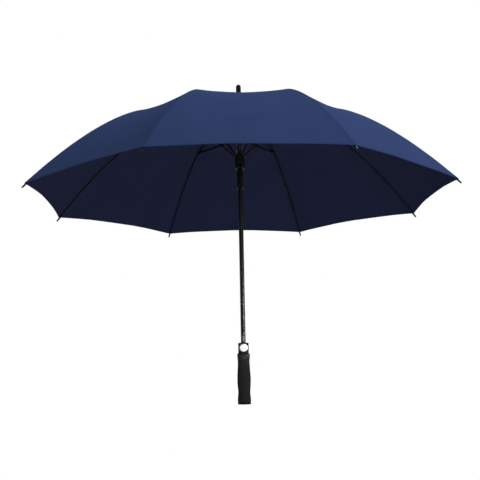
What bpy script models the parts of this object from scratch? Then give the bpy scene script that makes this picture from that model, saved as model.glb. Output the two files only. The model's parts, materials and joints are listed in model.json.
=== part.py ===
"""A golf umbrella that springs open at the push of a button.

Units are metres and +Z runs up the shaft. The origin is the centre of the handle's flat end, and the
push button faces -Y. Eight ribs hang on a wire in the crown. A stretcher from the upper collar holds
each rib up, and a short strut from the runner props each stretcher.

Every rib is drawn once, in its own plane: x is the distance from the shaft's axis, z the height and y
the side. The copies are turned about the shaft.
"""

import math

import bmesh
import bpy
from mathutils import Matrix, Vector

# Clearances
FIT = 0.0003
SLIDE_FIT = 0.00035

# Shaft
SHAFT_RADIUS = 0.0070
SHAFT_WALL = 0.0015
SHAFT_FOOT = 0.0120

# Rib linkage, open
RIB_COUNT = 8
CROWN_HEIGHT = 0.8800
HINGE_EASE = 0.0005
JOINT_DROP = 0.0400
STRUT_SEAT = 0.0750
RUNNER_PIVOT_RADIUS = 0.0140

# Rib linkage, shut
FOLD_END_ANGLE = math.radians(4.0)
SHUT_DROP = 0.0207

# Rib rods and tips
ROD_RADIUS = 0.0022
ROD_TIP_RADIUS = 0.0017
ROD_LIFT = 0.0050
ROD_ARCH = 0.0050
ROD_END = 0.0090
OUTER_REACH = 0.3123
OUTER_DROP = 0.2350
OUTER_START_BEND = math.radians(16.9)
OUTER_END_BEND = math.radians(8.6)
SOCKET_RADIUS = 0.0030
SOCKET_START = 0.0075
SOCKET_LENGTH = 0.0150
SOCKET_TAPER = 0.93
SOCKET_STEP = 0.0050
TIP_RADIUS = 0.0032
TIP_LENGTH = 0.0140
TIP_LAP = 0.0120
ROD_SIDES = 6
SHANK_SHARE = 0.7
CHEEK_SHARE = 0.75

# Eyes, pins and wires
EYE_RADIUS = 0.0021
WIRE_RADIUS = 0.0008
PIN_RADIUS = 0.0011
CROWN_EYE_WIDTH = 0.0024
COLLAR_EYE_WIDTH = 0.0022
JOINT_EYE_WIDTH = 0.0015
JOINT_EYE_RADIUS = 0.0025
CHEEK_WIDTH = 0.0014
CHEEK_RADIUS = 0.0032
WIRE_SIDES = 4
WIRE_STEPS = 24
PIN_SIDES = 6

# Stretchers and struts
CHANNEL_WIDTH = 0.0040
CHANNEL_TOP = 0.0021
CHANNEL_FOOT = 0.0023
CHANNEL_WALL = 0.0007
CHANNEL_START = 0.0060
CHANNEL_STOP = 0.0075
STRUT_WIDTH = 0.0018
STRUT_HALF_HEIGHT = 0.0018
STRUT_EYE_RADIUS = 0.0024
RIVET_HEAD_RADIUS = 0.0018
RIVET_HEAD = 0.0009

# Crown
NOTCH_RADIUS = 0.0140
NOTCH_FOOT = 0.0036
NOTCH_TOP = 0.0140
NOTCH_SLOT_ROOF = 0.0066
CAP_RADIUS = 0.0190
CAP_EDGE = 0.0012
CAP_HEIGHT = 0.0036
FINIAL_LENGTH = 0.0737
FINIAL_BASE_RADIUS = 0.0115
FINIAL_WAIST_RADIUS = 0.0064
FINIAL_HEAD_RADIUS = 0.0076
FINIAL_HEAD = 0.0330
SPIGOT_LENGTH = 0.0260

# Canopy
CLOTH = 0.0008
CLOTH_EASE = 0.0010
CLOTH_HOLE_RADIUS = 0.0092
CLOTH_PLATEAU_RADIUS = 0.0185
PANEL_SAG = 0.0095
HEM_RISE = 0.0120
PANEL_GAP = 0.0004
CLOTH_STATIONS = (0.0, 0.08, 0.2, 0.4, 0.6, 0.8, 1.0)
CLOTH_SHARES = (-0.5, -0.25, 0.0, 0.25, 0.5)

# Upper collar
COLLAR_RADIUS = 0.0119
COLLAR_TOP = 0.0036
COLLAR_FLOOR = 0.0030
COLLAR_BASE = 0.0056

# Runner
RUNNER_RADIUS = 0.0145
RUNNER_TOP = 0.0034
RUNNER_HEAD_LENGTH = 0.0440
RUNNER_SLEEVE_RADIUS = 0.0098
RUNNER_SLEEVE_LENGTH = 0.0620
RUNNER_BEAD = 0.0007
RUNNER_BEAD_SHARES = (0.12, 0.45, 0.92)
RUNNER_SLOT_FLOOR = 0.0032
RUNNER_SLOT_DEPTH = 0.0031
RUNNER_KEYWAY_WIDTH = 0.0052

# Opening spring
SPRING_RADIUS = 0.0087
SPRING_WIRE_RADIUS = 0.0007
SPRING_POCKET_RADIUS = 0.0102
SPRING_POCKET_DEPTH = 0.0300
SPRING_TURNS = 7
SPRING_STEPS = 8
SPRING_SIDES = 4

# Handle
END_CAP_HEIGHT = 0.0057
END_CAP_RADIUS = 0.0193
GRIP_TOP = 0.1474
GRIP_ROLL = 0.0050
GRIP_ROLL_TURN = math.radians(135)
GRIP_ROLL_RADIUS = 0.0187
GRIP_NECK_RADIUS = 0.0174
GRIP_PALM_RADIUS = 0.0196
GRIP_WAIST_RADIUS = 0.0176
GRIP_FLARE_RADIUS = 0.0193
CORE_RADIUS = 0.0130
DOCK_RADIUS = 0.0110
DOCK_DEPTH = 0.0300
DOCK_EASE = 0.0016

# Button and latch
COLLAR_CAN_RADIUS = 0.0154
COLLAR_CAN_HEIGHT = 0.0300
COLLAR_CAN_EDGE = 0.0012
BOSS_SHARE = 0.8
BUTTON_RADIUS = 0.0120
BUTTON_RIM = 0.0022
BUTTON_SEAT_WALL = 0.0012
BUTTON_TRAVEL = 0.0025
BUTTON_DOME = 0.0022
BUTTON_STEM_RADIUS = 0.0016
BUTTON_SPRING_WIRE = 0.00025
BUTTON_SPRING_TURNS = 2
BUTTON_SPRING_STEPS = 9
BUTTON_SPRING_FOOT = 0.65
BUTTON_SPRING_TOP = 0.4
LEAF_WIDTH = 0.0034
LEAF_THICKNESS = 0.0008
CATCH_BELOW = 0.0030
CATCH_LENGTH = 0.0180
CATCH_PROUD = 0.0014

# Fineness of the shapes
ROUND_SIDES = 24
HOLE_SIDES = 10
WELL_SIDES = 21
ROLL_STEPS = 4
MERGE_DISTANCE = 0.000005
SHARP_ANGLE = math.radians(35)

# Heights and radii that follow: the shut runner stands in the handle's dock, which sets the links' length
HINGE_RADIUS = SHAFT_RADIUS + EYE_RADIUS + HINGE_EASE
SHUT_FOOT = GRIP_TOP - DOCK_DEPTH + DOCK_EASE
SHUT_PIVOT_HEIGHT = SHUT_FOOT + RUNNER_SLEEVE_LENGTH + RUNNER_HEAD_LENGTH - RUNNER_TOP
SHUT_COLLAR_HEIGHT = SHUT_PIVOT_HEIGHT + SHUT_DROP
LINK_LENGTH = (CROWN_HEIGHT - SHUT_COLLAR_HEIGHT) / (2 * math.cos(FOLD_END_ANGLE))
LINK_SLOPE = math.asin(JOINT_DROP / LINK_LENGTH)
JOINT_REACH = HINGE_RADIUS + LINK_LENGTH * math.cos(LINK_SLOPE)
JOINT_HEIGHT = CROWN_HEIGHT - JOINT_DROP
COLLAR_HEIGHT = JOINT_HEIGHT - JOINT_DROP
STRUT_LENGTH = math.hypot(
    HINGE_RADIUS + STRUT_SEAT * math.sin(FOLD_END_ANGLE) - RUNNER_PIVOT_RADIUS,
    STRUT_SEAT * math.cos(FOLD_END_ANGLE) + SHUT_DROP,
)
STRUT_REACH = HINGE_RADIUS + STRUT_SEAT * math.cos(LINK_SLOPE) - RUNNER_PIVOT_RADIUS
STRUT_DROP = math.sqrt(STRUT_LENGTH**2 - STRUT_REACH**2)
RUNNER_PIVOT_HEIGHT = COLLAR_HEIGHT + STRUT_SEAT * math.sin(LINK_SLOPE) - STRUT_DROP
RUNNER_SHOULDER = RUNNER_PIVOT_HEIGHT + RUNNER_TOP - RUNNER_HEAD_LENGTH
RUNNER_FOOT = RUNNER_SHOULDER - RUNNER_SLEEVE_LENGTH
SPRING_SEAT = RUNNER_PIVOT_HEIGHT + RUNNER_TOP - SPRING_POCKET_DEPTH
SPRING_CEILING = COLLAR_HEIGHT - COLLAR_FLOOR - COLLAR_BASE
CLOTH_COVER = SOCKET_RADIUS + CLOTH_EASE
CLOTH_BASE = CROWN_HEIGHT + NOTCH_TOP + FIT
CAP_BASE = CLOTH_BASE + CLOTH + FIT
FINIAL_BASE = CAP_BASE + CAP_HEIGHT + FIT
FINIAL_TOP = FINIAL_BASE + FINIAL_LENGTH
SHAFT_BORE = SHAFT_RADIUS - SHAFT_WALL
SLIDE_RADIUS = SHAFT_RADIUS + SLIDE_FIT
GLUE_RADIUS = SHAFT_RADIUS + FIT
CAN_BASE = GRIP_TOP + FIT
CAN_TOP = CAN_BASE + COLLAR_CAN_HEIGHT
BUTTON_HEIGHT = CAN_BASE + COLLAR_CAN_HEIGHT / 2
CATCH_FOOT = CAN_TOP + CATCH_BELOW
CATCH_TOP = CATCH_FOOT + CATCH_LENGTH
KEYWAY_LENGTH = CATCH_TOP + CATCH_BELOW - SHUT_FOOT
CHEEK_INNER = JOINT_EYE_WIDTH + 2 * FIT
STRUT_INNER = CHANNEL_WIDTH / 2 + FIT
STRUT_OUTER = STRUT_INNER + STRUT_WIDTH

for item in list(bpy.data.objects):
    bpy.data.objects.remove(item, do_unlink=True)


def material(name, colour, roughness, metallic=0.0):
    made = bpy.data.materials.new(name)
    made.use_nodes = True
    shader = made.node_tree.nodes["Principled BSDF"]
    shader.inputs["Base Color"].default_value = (*colour, 1.0)
    shader.inputs["Roughness"].default_value = roughness
    shader.inputs["Metallic"].default_value = metallic
    return made


NAVY_CLOTH = material("navy_cloth", (0.026, 0.045, 0.135), 0.6)
BLACK_FIBREGLASS = material("black_fibreglass", (0.006, 0.006, 0.007), 0.25)
BLACK_STEEL = material("black_steel", (0.012, 0.012, 0.013), 0.35, 0.6)
BLACK_PLASTIC = material("black_plastic", (0.010, 0.010, 0.011), 0.4)
BLACK_FOAM = material("black_foam", (0.016, 0.016, 0.017), 0.85)
BRIGHT_METAL = material("bright_metal", (0.80, 0.81, 0.82), 0.18, 1.0)
SPRING_STEEL = material("spring_steel", (0.42, 0.39, 0.34), 0.35, 1.0)


def mesh_of(shape, name):
    bmesh.ops.recalc_face_normals(shape, faces=shape.faces)
    mesh = bpy.data.meshes.new(name)
    shape.to_mesh(mesh)
    shape.free()
    return mesh


def finished(shape, name, finish, pivot):
    """The mesh of a shape, drawn about its pivot and with its material."""
    mesh = mesh_of(shape, name)
    mesh.transform(Matrix.Translation(-Vector(pivot)))
    mesh.materials.append(finish)
    mesh.shade_smooth()
    mesh.set_sharp_from_angle(angle=SHARP_ANGLE)
    return mesh


def node_of(name, mesh, pivot, turn=0.0):
    """A node whose origin is its pivot, turned about the shaft."""
    node = bpy.data.objects.new(name, mesh)
    node.matrix_world = Matrix.Rotation(turn, 4, "Z") @ Matrix.Translation(pivot)
    bpy.context.scene.collection.objects.link(node)
    return node


def place(name, shape, finish, pivot=(0.0, 0.0, 0.0)):
    """Make a node of a shape that is drawn in the umbrella's frame."""
    return node_of(name, finished(shape, name, finish, pivot), pivot)


def combined(base, others, operation):
    """Join shapes to a base shape, or cut them from it."""
    scene = bpy.context.scene.collection.objects
    body = bpy.data.objects.new("body", mesh_of(base, "body"))
    scene.link(body)
    helpers = []
    for other in others:
        helper = bpy.data.objects.new("helper", mesh_of(other, "helper"))
        scene.link(helper)
        helpers.append(helper)
        step = body.modifiers.new("step", "BOOLEAN")
        step.operation = operation
        step.object = helper
    bpy.context.view_layer.update()
    graph = bpy.context.evaluated_depsgraph_get()
    result = bpy.data.meshes.new_from_object(body.evaluated_get(graph))
    for used in [body, *helpers]:
        bpy.data.objects.remove(used, do_unlink=True)
    shape = bmesh.new()
    shape.from_mesh(result)
    bmesh.ops.remove_doubles(shape, verts=shape.verts, dist=MERGE_DISTANCE)
    bmesh.ops.dissolve_degenerate(shape, edges=shape.edges, dist=MERGE_DISTANCE)
    return shape


def joined(base, *others):
    return combined(base, others, "UNION")


def cut(base, *others):
    return combined(base, others, "DIFFERENCE")


def skin_rings(shape, rings, round_trip=False):
    """Face the space between neighbouring rings, where a ring of one vertex is a pole."""
    pairs = list(zip(rings, rings[1:]))
    if round_trip:
        pairs.append((rings[-1], rings[0]))
    for lower, upper in pairs:
        count = max(len(lower), len(upper))
        for step in range(count):
            after = (step + 1) % count
            corners = [lower[step % len(lower)], lower[after % len(lower)]]
            corners += [upper[after % len(upper)], upper[step % len(upper)]]
            shape.faces.new(dict.fromkeys(corners))


def mix(first, second, share):
    return first + (second - first) * share


def turned(profile, hollow=False, sides=ROUND_SIDES):
    """Turn a profile of (radius, height) points about the shaft's axis."""
    shape = bmesh.new()
    rings = []
    for radius, height in profile:
        if radius == 0.0:
            rings.append([shape.verts.new((0.0, 0.0, height))])
            continue
        ring = []
        for step in range(sides):
            angle = 2 * math.pi * step / sides
            ring.append(shape.verts.new((radius * math.cos(angle), radius * math.sin(angle), height)))
        rings.append(ring)
    skin_rings(shape, rings, hollow)
    return shape


def dome(radius, base, rise, steps=4):
    """Profile points from a dome's rim, which is left out, to its pole."""
    points = []
    for step in range(1, steps):
        angle = step * math.pi / (2 * steps)
        points.append((radius * math.cos(angle), base + rise * math.sin(angle)))
    return [*points, (0.0, base + rise)]


def turned_forward(profile, height, sides=ROUND_SIDES):
    """Turn a profile of (radius, distance towards -Y) points about the button's axis."""
    return facing_forward(turned(profile, sides=sides), height)


def facing_forward(shape, height):
    """Lay a shape that is drawn about +Z along -Y at a height."""
    lay = Matrix.Translation((0.0, 0.0, height)) @ Matrix.Rotation(math.pi / 2, 4, "X")
    bmesh.ops.transform(shape, matrix=lay, verts=shape.verts)
    return shape


def forward_hole(radius, near, far, sides=HOLE_SIDES):
    """A round cutter on the button's axis."""
    return turned_forward([(0.0, near), (radius, near), (radius, far), (0.0, far)], BUTTON_HEIGHT, sides)


def swept(points, radii, sides=ROD_SIDES):
    """A round rod along points (x, z) of the rib's plane, with a radius at each point."""
    shape = bmesh.new()
    rings = []
    last = len(points) - 1
    for index, (x, z) in enumerate(points):
        along = Vector(points[min(index + 1, last)]) - Vector(points[max(index - 1, 0)])
        along.normalize()
        ring = []
        for step in range(sides):
            angle = 2 * math.pi * (step + 0.5) / sides
            up = radii[index] * math.cos(angle)
            side = radii[index] * math.sin(angle)
            ring.append(shape.verts.new((x - along.y * up, side, z + along.x * up)))
        rings.append(ring)
    skin_rings(shape, rings)
    shape.faces.new(rings[0])
    shape.faces.new(rings[-1])
    return shape


def wire_ring(radius, height, wire, steps=WIRE_STEPS):
    """A ring of round wire about the shaft's axis."""
    profile = []
    for step in range(WIRE_SIDES):
        angle = 2 * math.pi * step / WIRE_SIDES
        profile.append((radius + wire * math.cos(angle), height + wire * math.sin(angle)))
    return turned(profile, hollow=True, sides=steps)


def pin(pivot, radius, side_from, side_to, sides=PIN_SIDES):
    """A round pin across the rib's plane."""
    shape = bmesh.new()
    rings = []
    for side in (side_from, side_to):
        ring = []
        for step in range(sides):
            angle = 2 * math.pi * step / sides
            spot = (pivot[0] + radius * math.cos(angle), side, pivot[1] + radius * math.sin(angle))
            ring.append(shape.verts.new(spot))
        rings.append(ring)
    skin_rings(shape, rings)
    shape.faces.new(rings[0])
    shape.faces.new(rings[1])
    return shape


def lug(pivot, shoulder, half_height, eye_radius, side_from, side_to, hole_radius=0.0, arc_steps=5):
    """A flat tongue in the rib's plane: round about its pivot, square at its shoulder."""
    lean = math.atan2(shoulder[1] - pivot[1], shoulder[0] - pivot[0])
    length = math.hypot(shoulder[0] - pivot[0], shoulder[1] - pivot[1])
    outline = [(length, -half_height), (length, half_height)]
    for step in range(arc_steps):
        angle = math.pi * (0.5 + step / (arc_steps - 1))
        outline.append((eye_radius * math.cos(angle), eye_radius * math.sin(angle)))
    count = len(outline)
    corner_radius = hole_radius / math.cos(math.pi / count)
    hole = []
    for step in range(count):
        angle = 2 * math.pi * (step - 0.5) / count
        hole.append((corner_radius * math.cos(angle), corner_radius * math.sin(angle)))
    shape = bmesh.new()

    def loop_at(points, side):
        loop = []
        for x, z in points:
            across = x * math.cos(lean) - z * math.sin(lean)
            up = x * math.sin(lean) + z * math.cos(lean)
            loop.append(shape.verts.new((pivot[0] + across, side, pivot[1] + up)))
        return loop

    rims = [loop_at(outline, side) for side in (side_from, side_to)]
    if hole_radius == 0.0:
        skin_rings(shape, rims)
        shape.faces.new(rims[0])
        shape.faces.new(rims[1])
        return shape
    holes = [loop_at(hole, side) for side in (side_to, side_from)]
    skin_rings(shape, rims + holes, round_trip=True)
    return shape


def box(low, high):
    shape = bmesh.new()
    centre = (Vector(low) + Vector(high)) / 2
    size = Vector(high) - Vector(low)
    grow = Matrix.Translation(centre) @ Matrix.Diagonal((*size, 1.0))
    bmesh.ops.create_cube(shape, size=1.0, matrix=grow)
    return shape


def rib_angle(index):
    """Ribs stand to both sides of the button, so that a panel faces the front."""
    return -math.pi / 2 + (index + 0.5) * 2 * math.pi / RIB_COUNT


def around_ribs(low, high):
    """The same box in every rib's plane."""
    shape = bmesh.new()
    for index in range(RIB_COUNT):
        one = box(low, high)
        bmesh.ops.transform(one, matrix=Matrix.Rotation(rib_angle(index), 4, "Z"), verts=one.verts)
        mesh = mesh_of(one, "slot")
        shape.from_mesh(mesh)
        bpy.data.meshes.remove(mesh)
    return shape


def coil(foot, top, radii, wire, turns, steps, sides=SPRING_SIDES):
    """A helical spring about the shaft's axis, with a radius at its lowest wire and at its highest."""
    shape = bmesh.new()
    rings = []
    total = turns * steps
    for index in range(total + 1):
        share = index / total
        angle = 2 * math.pi * index / steps
        radius = radii[0] + (radii[1] - radii[0]) * share
        out = Vector((math.cos(angle), math.sin(angle), 0.0))
        centre = out * radius + Vector((0.0, 0.0, foot + (top - foot) * share))
        ring = []
        for step in range(sides):
            tilt = 2 * math.pi * step / sides
            around = out * math.cos(tilt) + Vector((0.0, 0.0, math.sin(tilt)))
            ring.append(shape.verts.new(centre + wire * around))
        rings.append(ring)
    skin_rings(shape, rings)
    shape.faces.new(rings[0])
    shape.faces.new(rings[-1])
    return shape


def along_inner(distance, lift):
    """A point of the rib's plane, by its distance from the crown hinge and its height over the link."""
    x = HINGE_RADIUS + distance * math.cos(LINK_SLOPE) + lift * math.sin(LINK_SLOPE)
    z = CROWN_HEIGHT - distance * math.sin(LINK_SLOPE) + lift * math.cos(LINK_SLOPE)
    return x, z


def along_stretcher(distance):
    """A point on the line from the upper collar's hinge to the rib joint."""
    x = HINGE_RADIUS + distance * math.cos(LINK_SLOPE)
    z = COLLAR_HEIGHT + distance * math.sin(LINK_SLOPE)
    return x, z


def inner_axis(steps=4):
    """The middle of the inner rod, which bows a little."""
    points = []
    for step in range(steps + 1):
        distance = ROD_END + (LINK_LENGTH - 2 * ROD_END) * step / steps
        share = distance / LINK_LENGTH
        points.append(along_inner(distance, ROD_LIFT + ROD_ARCH * 4 * share * (1 - share)))
    return points


def outer_axis(share):
    """The middle of the outer rod: one bend that steepens from the joint to the canopy's corner."""
    start = Vector(along_inner(LINK_LENGTH, ROD_LIFT))
    end = Vector((JOINT_REACH + OUTER_REACH, JOINT_HEIGHT - OUTER_DROP))
    span = end - start
    chord = math.atan2(-span.y, span.x)
    first = chord - OUTER_START_BEND
    reach = span.length * math.sin(OUTER_END_BEND) / math.sin(OUTER_START_BEND + OUTER_END_BEND)
    bend = start + reach * Vector((math.cos(first), -math.sin(first)))
    return start * (1 - share) ** 2 + bend * 2 * share * (1 - share) + end * share**2


def build_shaft():
    foot = SHAFT_FOOT
    top = CROWN_HEIGHT + NOTCH_TOP - FIT
    profile = [(SHAFT_RADIUS, foot), (SHAFT_RADIUS, top), (SHAFT_BORE, top), (SHAFT_BORE, foot)]
    half = LEAF_WIDTH / 2 + FIT
    slot = box((-half, -2 * SHAFT_RADIUS, CATCH_FOOT - FIT), (half, -FIT, CATCH_TOP + FIT))
    stem_hole = forward_hole(BUTTON_STEM_RADIUS + FIT, FIT, 2 * SHAFT_RADIUS)
    place("shaft_tube", cut(turned(profile, hollow=True), slot, stem_hole), BLACK_FIBREGLASS)


def build_crown():
    foot = CROWN_HEIGHT - NOTCH_FOOT
    top = CROWN_HEIGHT + NOTCH_TOP
    notch = turned(
        [
            (GLUE_RADIUS, foot),
            (GLUE_RADIUS, top),
            (NOTCH_RADIUS - CAP_EDGE, top),
            (NOTCH_RADIUS, top - CAP_EDGE),
            (NOTCH_RADIUS, foot),
        ],
        hollow=True,
    )
    half = CROWN_EYE_WIDTH / 2 + FIT
    roof = CROWN_HEIGHT + NOTCH_SLOT_ROOF
    slots = around_ribs((SHAFT_RADIUS - FIT, -half, foot - FIT), (2 * NOTCH_RADIUS, half, roof))
    tunnel = wire_ring(HINGE_RADIUS, CROWN_HEIGHT, WIRE_RADIUS + FIT)
    place("crown_notch", cut(notch, slots, tunnel), BLACK_PLASTIC)
    place("crown_wire", wire_ring(HINGE_RADIUS, CROWN_HEIGHT, WIRE_RADIUS), SPRING_STEEL)

    hole = SHAFT_BORE + FIT
    crest = CAP_BASE + CAP_HEIGHT
    shoulder = CAP_BASE + (CAP_EDGE + CAP_HEIGHT) / 2 + CAP_EDGE / 3
    cap = turned(
        [
            (hole, CAP_BASE),
            (hole, crest),
            (FINIAL_BASE_RADIUS, crest),
            ((FINIAL_BASE_RADIUS + CAP_RADIUS) / 2, shoulder),
            (CAP_RADIUS, CAP_BASE + CAP_EDGE),
            (CAP_RADIUS, CAP_BASE),
        ],
        hollow=True,
    )
    place("crown_cap", cap, BLACK_PLASTIC)

    spigot = SHAFT_BORE - FIT
    head = FINIAL_TOP - FINIAL_HEAD
    profile = [
        (0.0, FINIAL_BASE - SPIGOT_LENGTH),
        (spigot, FINIAL_BASE - SPIGOT_LENGTH),
        (spigot, FINIAL_BASE),
        (FINIAL_BASE_RADIUS, FINIAL_BASE),
        (FINIAL_BASE_RADIUS - CAP_EDGE / 2, FINIAL_BASE + 2 * CAP_EDGE),
        (FINIAL_WAIST_RADIUS + CAP_EDGE, FINIAL_BASE + 5 * CAP_EDGE),
        (FINIAL_WAIST_RADIUS, (FINIAL_BASE + head) / 2),
        (FINIAL_HEAD_RADIUS, head),
        (FINIAL_HEAD_RADIUS, FINIAL_TOP - FINIAL_HEAD_RADIUS),
    ]
    profile += dome(FINIAL_HEAD_RADIUS, FINIAL_TOP - FINIAL_HEAD_RADIUS, FINIAL_HEAD_RADIUS)
    place("finial", turned(profile), BLACK_PLASTIC)


def inner_rib_shape():
    axis = inner_axis()
    rod = swept(axis, [ROD_RADIUS] * len(axis))
    shank = ROD_RADIUS * SHANK_SHARE
    half = CROWN_EYE_WIDTH / 2
    crown_pivot = (HINGE_RADIUS, CROWN_HEIGHT)
    crown_shoulder = axis_inside(axis[0], axis[1])
    crown_eye = lug(crown_pivot, crown_shoulder, shank, EYE_RADIUS, -half, half, WIRE_RADIUS + FIT)
    joint_pivot = (JOINT_REACH, JOINT_HEIGHT)
    joint_shoulder = axis_inside(axis[-1], axis[-2])
    near = -FIT / 2
    far = near - JOINT_EYE_WIDTH
    joint_eye = lug(joint_pivot, joint_shoulder, shank, JOINT_EYE_RADIUS, far, near, PIN_RADIUS + FIT)
    return joined(rod, crown_eye, joint_eye)


def axis_inside(end, neighbour):
    """A point of a rod's middle, a rod's width inside its end."""
    step = (Vector(neighbour) - Vector(end)).normalized()
    return tuple(Vector(end) + step * 2 * ROD_RADIUS)


def outer_rib_shape(steps=5):
    """The joint's fork and pin, the rod and the moulded tip, which are glued into one."""
    start = outer_axis(0.0)
    end = outer_axis(1.0)
    span = (end - start).length
    leave = (outer_axis(0.01) - start).normalized()
    arrive = (end - outer_axis(0.99)).normalized()
    socket_end = SOCKET_START + SOCKET_LENGTH
    points = [start + leave * SOCKET_START, start + leave * socket_end]
    radii = [SOCKET_RADIUS, SOCKET_RADIUS * SOCKET_TAPER]
    first = (socket_end + SOCKET_STEP) / span
    last = 1 - TIP_LAP / span
    for step in range(steps + 1):
        share = first + (last - first) * step / steps
        points.append(outer_axis(share))
        radii.append(ROD_RADIUS + (ROD_TIP_RADIUS - ROD_RADIUS) * share)
    tip_start = end - arrive * (TIP_LAP - FIT)
    tip_rounding = ((0.0, 1.0), (0.85, 0.8), (0.97, 0.6), (1.0, 0.3))
    for share, width in tip_rounding:
        points.append(tip_start + arrive * (TIP_LAP + TIP_LENGTH) * share)
        radii.append(TIP_RADIUS * width)
    rod = swept([tuple(point) for point in points], radii)
    pivot = (JOINT_REACH, JOINT_HEIGHT)
    shoulder = tuple(start + leave * (SOCKET_START + SOCKET_LENGTH / 2))
    outer_side = CHEEK_INNER + CHEEK_WIDTH
    half_height = SOCKET_RADIUS * CHEEK_SHARE
    left = lug(pivot, shoulder, half_height, CHEEK_RADIUS, CHEEK_INNER, outer_side)
    right = lug(pivot, shoulder, half_height, CHEEK_RADIUS, -outer_side, -CHEEK_INNER)
    axle = pin(pivot, PIN_RADIUS, -outer_side - FIT, outer_side + FIT)
    return joined(rod, left, right, axle)


def stretcher_shape():
    half = CHANNEL_WIDTH / 2
    inside = half - CHANNEL_WALL
    section = [
        (-half, -CHANNEL_FOOT),
        (-inside, -CHANNEL_FOOT),
        (-inside, CHANNEL_TOP - CHANNEL_WALL),
        (inside, CHANNEL_TOP - CHANNEL_WALL),
        (inside, -CHANNEL_FOOT),
        (half, -CHANNEL_FOOT),
        (half, CHANNEL_TOP),
        (-half, CHANNEL_TOP),
    ]
    channel = bmesh.new()
    rings = []
    for distance in (CHANNEL_START, LINK_LENGTH - CHANNEL_STOP):
        x, z = along_stretcher(distance)
        ring = []
        for side, up in section:
            spot = (x - up * math.sin(LINK_SLOPE), side, z + up * math.cos(LINK_SLOPE))
            ring.append(channel.verts.new(spot))
        rings.append(ring)
    skin_rings(channel, rings)
    channel.faces.new(rings[0])
    channel.faces.new(rings[1])

    web = CHANNEL_TOP - CHANNEL_WALL / 2
    half = COLLAR_EYE_WIDTH / 2
    collar_shoulder = along_stretcher(2 * CHANNEL_START)
    collar_eye = lug(along_stretcher(0.0), collar_shoulder, web, EYE_RADIUS, -half, half, WIRE_RADIUS + FIT)
    joint_pivot = along_stretcher(LINK_LENGTH)
    joint_shoulder = along_stretcher(LINK_LENGTH - 2 * CHANNEL_STOP)
    near = FIT / 2
    far = near + JOINT_EYE_WIDTH
    joint_eye = lug(joint_pivot, joint_shoulder, web, JOINT_EYE_RADIUS, near, far, PIN_RADIUS + FIT)
    whole = joined(channel, collar_eye, joint_eye)
    return cut(whole, pin(along_stretcher(STRUT_SEAT), PIN_RADIUS + FIT, -CHANNEL_WIDTH, CHANNEL_WIDTH))


def strut_shape():
    """A flat bar in two overlapping halves, each round about its hinge, and the rivet of the upper one."""
    seat = Vector(along_stretcher(STRUT_SEAT))
    foot = Vector((RUNNER_PIVOT_RADIUS, RUNNER_PIVOT_HEIGHT))
    middle = (seat + foot) / 2
    beyond = middle + (seat - foot).normalized() * STRUT_EYE_RADIUS
    inset = FIT / 6
    upper = lug(seat, middle, STRUT_HALF_HEIGHT, STRUT_EYE_RADIUS, STRUT_INNER, STRUT_OUTER)
    near = STRUT_INNER + inset
    far = STRUT_OUTER - inset
    lower = lug(foot, beyond, STRUT_HALF_HEIGHT - inset, STRUT_EYE_RADIUS, near, far, PIN_RADIUS)
    head_side = -CHANNEL_WIDTH / 2 - FIT
    rivet = pin(seat, PIN_RADIUS, head_side - RIVET_HEAD / 2, STRUT_INNER + STRUT_WIDTH / 2)
    head = pin(seat, RIVET_HEAD_RADIUS, head_side - RIVET_HEAD, head_side)
    return joined(upper, lower, rivet, head)


def build_ribs():
    joint = (JOINT_REACH, 0.0, JOINT_HEIGHT)
    seat_x, seat_z = along_stretcher(STRUT_SEAT)
    kinds = (
        ("inner_rib", inner_rib_shape(), BLACK_FIBREGLASS, (HINGE_RADIUS, 0.0, CROWN_HEIGHT)),
        ("outer_rib", outer_rib_shape(), BLACK_FIBREGLASS, joint),
        ("stretcher", stretcher_shape(), BLACK_STEEL, joint),
        ("strut", strut_shape(), BLACK_STEEL, (seat_x, 0.0, seat_z)),
    )
    for name, shape, finish, pivot in kinds:
        mesh = finished(shape, name, finish, pivot)
        for index in range(RIB_COUNT):
            node_of(f"{name}_{index + 1}", mesh, pivot, rib_angle(index))


def cloth_line():
    """The underside of the cloth over a rib, from the crown's hole to the corner at the tip."""
    points = [Vector((CLOTH_HOLE_RADIUS, CLOTH_BASE)), Vector((CLOTH_PLATEAU_RADIUS, CLOTH_BASE))]
    axis = [Vector(point) for point in inner_axis()[1:-1]]
    axis += [outer_axis(share) for share in CLOTH_STATIONS]
    for index, point in enumerate(axis):
        along = (axis[min(index + 1, len(axis) - 1)] - axis[max(index - 1, 0)]).normalized()
        points.append(point + Vector((-along.y, along.x)) * CLOTH_COVER)
    return points


def on_line(points, distance):
    """The point at a distance along a line of points."""
    for before, after in zip(points, points[1:]):
        step = (after - before).length
        if distance <= step:
            return before + (after - before) * (distance / step)
        distance -= step
    return points[-1]


def panel_point(line, distance, total, share):
    """A point of the cloth, by its distance from the crown along the rib and its share of the panel."""
    bow = 4 * abs(share) * (1 - abs(share))
    pulled = distance - HEM_RISE * bow * (distance / total) ** 3
    spot = on_line(line, pulled)
    here = Vector((spot.x, 0.0, spot.y))
    angle = math.copysign(2 * math.pi / RIB_COUNT, share)
    there = Vector((spot.x * math.cos(angle), spot.x * math.sin(angle), spot.y))
    point = here.lerp(there, abs(share))
    point.z -= PANEL_SAG * bow * math.sin(math.pi * distance / total)
    return point


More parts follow.
